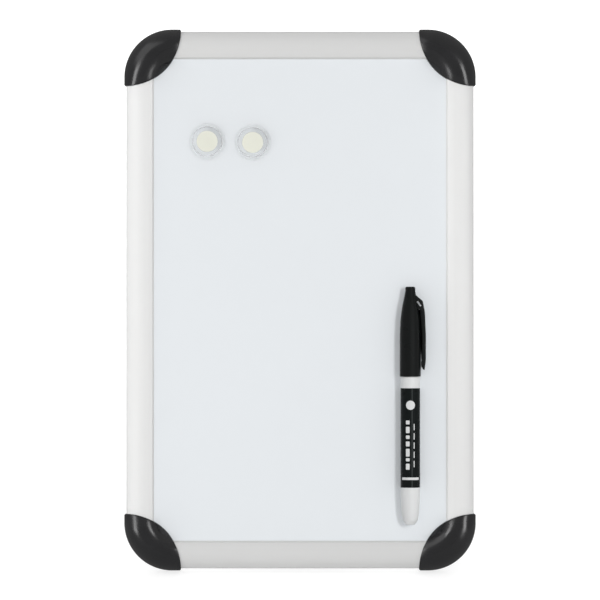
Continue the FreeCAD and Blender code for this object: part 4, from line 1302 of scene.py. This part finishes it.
class EASEL_OT_marker_cap(BoardOperator, bpy.types.Operator):
    """Build the marker's cap with its clip"""

    bl_idname = "easel.marker_cap"
    bl_label = "Marker cap"

    def execute(self, context):
        colours, sizes = context.scene.easel_colours, context.scene.easel_sizes
        black = plain_moulding("marker_black", colours.marker_black, roughness=0.3, tone=0.1, shine=0.1)
        axis = middle("marker_barrel")
        centre = Vector((axis.x, reach("marker_cap")[0].y, axis.z))
        bore, mouth = sizes.cap_bore, sizes.cap_mouth_edge
        top = reach("marker_cap")[1].y - centre.y
        shape = in_metres(CAP_TAPER)
        skirt = softened([(0.0, 0.0), (shape[0][0], 0.0, mouth), shape[0]])
        taper = flowing(shape)
        corner, end = Vector((taper[-1].x, top)), Vector((0.0, top))
        button = rounded_corner(taper[-1], corner, end, sizes.button_rounding)
        body = turned_mesh("marker_cap", centre, Y_AXIS, Z_AXIS, [*skirt, *taper, *button, end])
        whole = carved(body, pocket_clip(sizes, centre), operation="UNION")
        inside = [(0.0, -mouth), (bore + 2 * mouth, -mouth), (bore, mouth), (bore, sizes.cap_bore_depth),
                  (0.0, sizes.cap_bore_depth)]
        hollow = turned_mesh("bore", centre, Y_AXIS, Z_AXIS, inside)
        cap = carved(whole, clip_window(sizes, centre), hollow)
        board_piece("marker_cap_piece", cap, "marker_cap", "marker_black", black, "marker_cap")
        dress("marker_cap_liner", plain_moulding("liner", colours.liner, roughness=0.45))
        return {"FINISHED"}


# Stage

# Lamps by name: degrees to the right of and above the writing face's axis, distance, width, height,
# the setting of their brightness, the pieces that they light and those that shade them
LAMPS = {
    "front_softbox": (0.0, 4.0, 1.6, 1.3, 1.3, "front_radiance", "frame", None),
    "left_softbox": (-46.0, 8.0, 1.6, 0.8, 1.2, "front_radiance", "frame", None),
    "back_softbox": (180.0, 20.0, 1.6, 1.6, 1.2, "back_radiance", None, None),
    "marker_softbox": (24.0, 5.0, 1.8, 0.25, 0.6, "marker_radiance", "sheet and marker", "marker"),
    "magnet_softbox": (-40.0, -12.0, 1.0, 0.25, 0.25, "magnet_radiance", "sheet", "magnets"),
}
# The same for cards, which are seen in gloss alone
CARDS = {
    "left_strip": (-46.0, 0.0, 0.8, 0.23, 0.66, "key_radiance", "board and leg", None),
    "right_strip": (46.0, 0.0, 0.8, 0.2, 0.66, "fill_radiance", "board and leg", None),
    "left_card": (-45.0, 38.0, 1.0, 0.6, 0.5, "card_radiance", "board and leg", None),
    "marker_card": (30.0, 0.0, 0.8, 0.66, 0.66, "marker_gloss", "marker", None),
    "left_sheen": (-64.0, 0.0, 0.8, 0.6, 0.66, "sheen_radiance", "rails", None),
    "right_sheen": (52.0, 0.0, 0.8, 0.6, 0.66, "sheen_radiance", "rails", None),
}
# Half the side of the floor, and what gloss and the camera see of it: a dim colour and a glow
FLOOR_HALF = 6.0
FLOOR_SEEN, FLOOR_GLOW = 0.4, 0.78
# Width of the camera's sensor in mm
SENSOR_WIDTH = 36.0


def lit_groups(scene):
    """Pieces by the names that the lamps use for them."""
    pieces = [piece for piece in scene.objects if piece.type == "MESH"]
    sheet = frame["nodes"]["writing_sheet"]
    groups = {name: [piece for piece in pieces if piece.name.startswith(start)]
              for name, start in (("marker", "marker"), ("magnets", "magnet"), ("rails", "rail"))}
    groups["sheet"] = [sheet]
    groups["sheet and marker"] = [sheet, *groups["marker"]]
    groups["frame"] = [piece for piece in pieces if piece not in groups["sheet and marker"]]
    groups["board and leg"] = [piece for piece in groups["frame"] if piece not in groups["magnets"]]
    return groups


def softbox(name, turn, rise, distance, width, height, radiance, target, card):
    """A soft lamp aimed at a point. A card is seen in gloss alone, another lamp not at all."""
    turn, rise = math.radians(turn), math.radians(rise)
    away = (OUT * math.cos(turn) * math.cos(rise) + ACROSS * math.sin(turn) * math.cos(rise)
            + UP * math.sin(rise))
    lamp = bpy.data.lights.new(name, "AREA")
    lamp.shape = "RECTANGLE"
    lamp.size = width
    lamp.size_y = height
    lamp.energy = radiance * math.pi * width * height
    holder = placed(name, lamp)
    holder.location = target + away * distance
    holder.rotation_euler = away.to_track_quat("Z", "Y").to_euler()
    holder.visible_camera = False
    holder.visible_glossy = card
    holder.visible_transmission = card
    holder.visible_diffuse = not card
    return holder


def link_light(holder, receivers, blockers):
    """Keeps a lamp to the pieces that it lights and to those that shade them, where there are any given."""
    for role, pieces in (("receiver", receivers), ("blocker", blockers)):
        if pieces:
            group = bpy.data.collections.new(f"{holder.name}_{role}s")
            for piece in pieces:
                group.objects.link(piece)
            setattr(holder.light_linking, role + "_collection", group)


def shown_plain(wiring):
    """A share that is 1 for what the camera, gloss and glass see."""
    path = wiring.node("ShaderNodeLightPath").outputs
    seen = wiring.math("MAXIMUM", path["Is Camera Ray"], path["Is Glossy Ray"])
    return wiring.math("MAXIMUM", seen, path["Is Transmission Ray"])


class EASEL_OT_stage(BoardOperator, bpy.types.Operator):
    """Set up the floor, the soft lights and the camera"""

    bl_idname = "easel.stage"
    bl_label = "Stage"

    def execute(self, context):
        stage = context.scene.easel_stage
        low, high = reach("writing_sheet")
        centre = BOARD @ Vector(((low.x + high.x) / 2, (low.y + high.y) / 2, high.z))
        self.add_floor(stage)
        self.add_world(context.scene, stage)
        self.add_camera(context.scene, stage, centre)
        self.add_lights(context.scene, stage, centre)
        context.scene.view_settings.view_transform = "Standard"
        return {"FINISHED"}

    def add_lights(self, scene, stage, centre):
        """Places the lamps and the cards, each for its own pieces."""
        groups = lit_groups(scene)
        for lamps, card in ((LAMPS, False), (CARDS, True)):
            for name, (*place, setting, receivers, blockers) in lamps.items():
                holder = softbox(name, *place, getattr(stage, setting), centre, card)
                link_light(holder, groups.get(receivers), groups.get(blockers))

    def add_floor(self, stage):
        """A pale floor that glows a little where the camera or gloss shows it."""
        corners = rectangle((-FLOOR_HALF, -FLOOR_HALF), (FLOOR_HALF, FLOOR_HALF))
        mesh = bpy.data.meshes.new("floor")
        mesh.from_pydata([(x, y, 0.0) for x, y in corners], [], [(0, 1, 2, 3)])
        material = bpy.data.materials.new("floor")
        material.use_nodes = True
        material.node_tree.nodes.clear()
        wiring = Wiring(material.node_tree)
        plain = wiring.node("ShaderNodeBsdfDiffuse", {"Color": rgba(stage.floor)})
        dimmed = wiring.node("ShaderNodeBsdfDiffuse", {"Color": grey(FLOOR_SEEN)})
        glow = wiring.node("ShaderNodeEmission", {"Color": grey(1.0), "Strength": FLOOR_GLOW})
        both = wiring.node("ShaderNodeAddShader", {0: dimmed.outputs["BSDF"], 1: glow.outputs["Emission"]})
        wiring.node("ShaderNodeOutputMaterial", {"Surface": wiring.mixed(shown_plain(wiring), plain, both)})
        mesh.materials.append(material)
        placed("floor", mesh)

    def add_world(self, scene, stage):
        """Plain white to the camera and in gloss, and dimmer as a light."""
        world = bpy.data.worlds.new("studio")
        world.use_nodes = True
        scene.world = world
        wiring = Wiring(world.node_tree)
        background = world.node_tree.nodes["Background"].inputs
        wiring.feed(background["Color"], grey(1.0))
        wiring.feed(background["Strength"], wiring.spread(shown_plain(wiring), stage.ambient, 1.0))

    def add_camera(self, scene, stage, centre):
        """Looks straight at the writing face."""
        data = bpy.data.cameras.new("camera")
        data.sensor_width = SENSOR_WIDTH
        data.lens = SENSOR_WIDTH * stage.camera_distance / stage.view_width
        camera = placed("camera", data)
        camera.matrix_world = Matrix.Translation(centre + OUT * stage.camera_distance) @ BOARD.to_4x4()
        scene.camera = camera


# Sidebar and start

PIECE_OPERATORS = (EASEL_OT_rails, EASEL_OT_corner_caps, EASEL_OT_panel, EASEL_OT_stand, EASEL_OT_magnets,
                   EASEL_OT_marker, EASEL_OT_marker_cap, EASEL_OT_stage)


class EASEL_PT_sidebar(bpy.types.Panel):
    """Lists the board's pieces and settings in the 3D view's sidebar"""

    bl_idname = "EASEL_PT_sidebar"
    bl_label = "Desk Whiteboard Easel"
    bl_space_type = "VIEW_3D"
    bl_region_type = "UI"
    bl_category = "Easel"

    def draw(self, context):
        for operator in PIECE_OPERATORS:
            self.layout.operator(operator.bl_idname)
        for settings in (context.scene.easel_colours, context.scene.easel_sizes, context.scene.easel_stage):
            box = self.layout.box()
            for name in settings.__annotations__:
                box.prop(settings, name)


SETTINGS = {"easel_colours": EaselColours, "easel_sizes": EaselSizes, "easel_stage": EaselStage}


def register():
    """Adds the settings, the operators and the panel."""
    for settings in SETTINGS.values():
        bpy.utils.register_class(settings)
    for name, settings in SETTINGS.items():
        setattr(bpy.types.Scene, name, PointerProperty(type=settings))
    for operator in PIECE_OPERATORS:
        bpy.utils.register_class(operator)
    bpy.utils.register_class(EASEL_PT_sidebar)


def unregister():
    """Takes them away again."""
    bpy.utils.unregister_class(EASEL_PT_sidebar)
    for operator in reversed(PIECE_OPERATORS):
        bpy.utils.unregister_class(operator)
    for name, settings in SETTINGS.items():
        delattr(bpy.types.Scene, name)
        bpy.utils.unregister_class(settings)


def main():
    """Dresses the whole model."""
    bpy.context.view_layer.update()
    register()
    for operator in PIECE_OPERATORS:
        group, name = operator.bl_idname.split(".")
        getattr(getattr(bpy.ops, group), name)()
    bpy.context.view_layer.update()


if __name__ == "__main__":
    main()
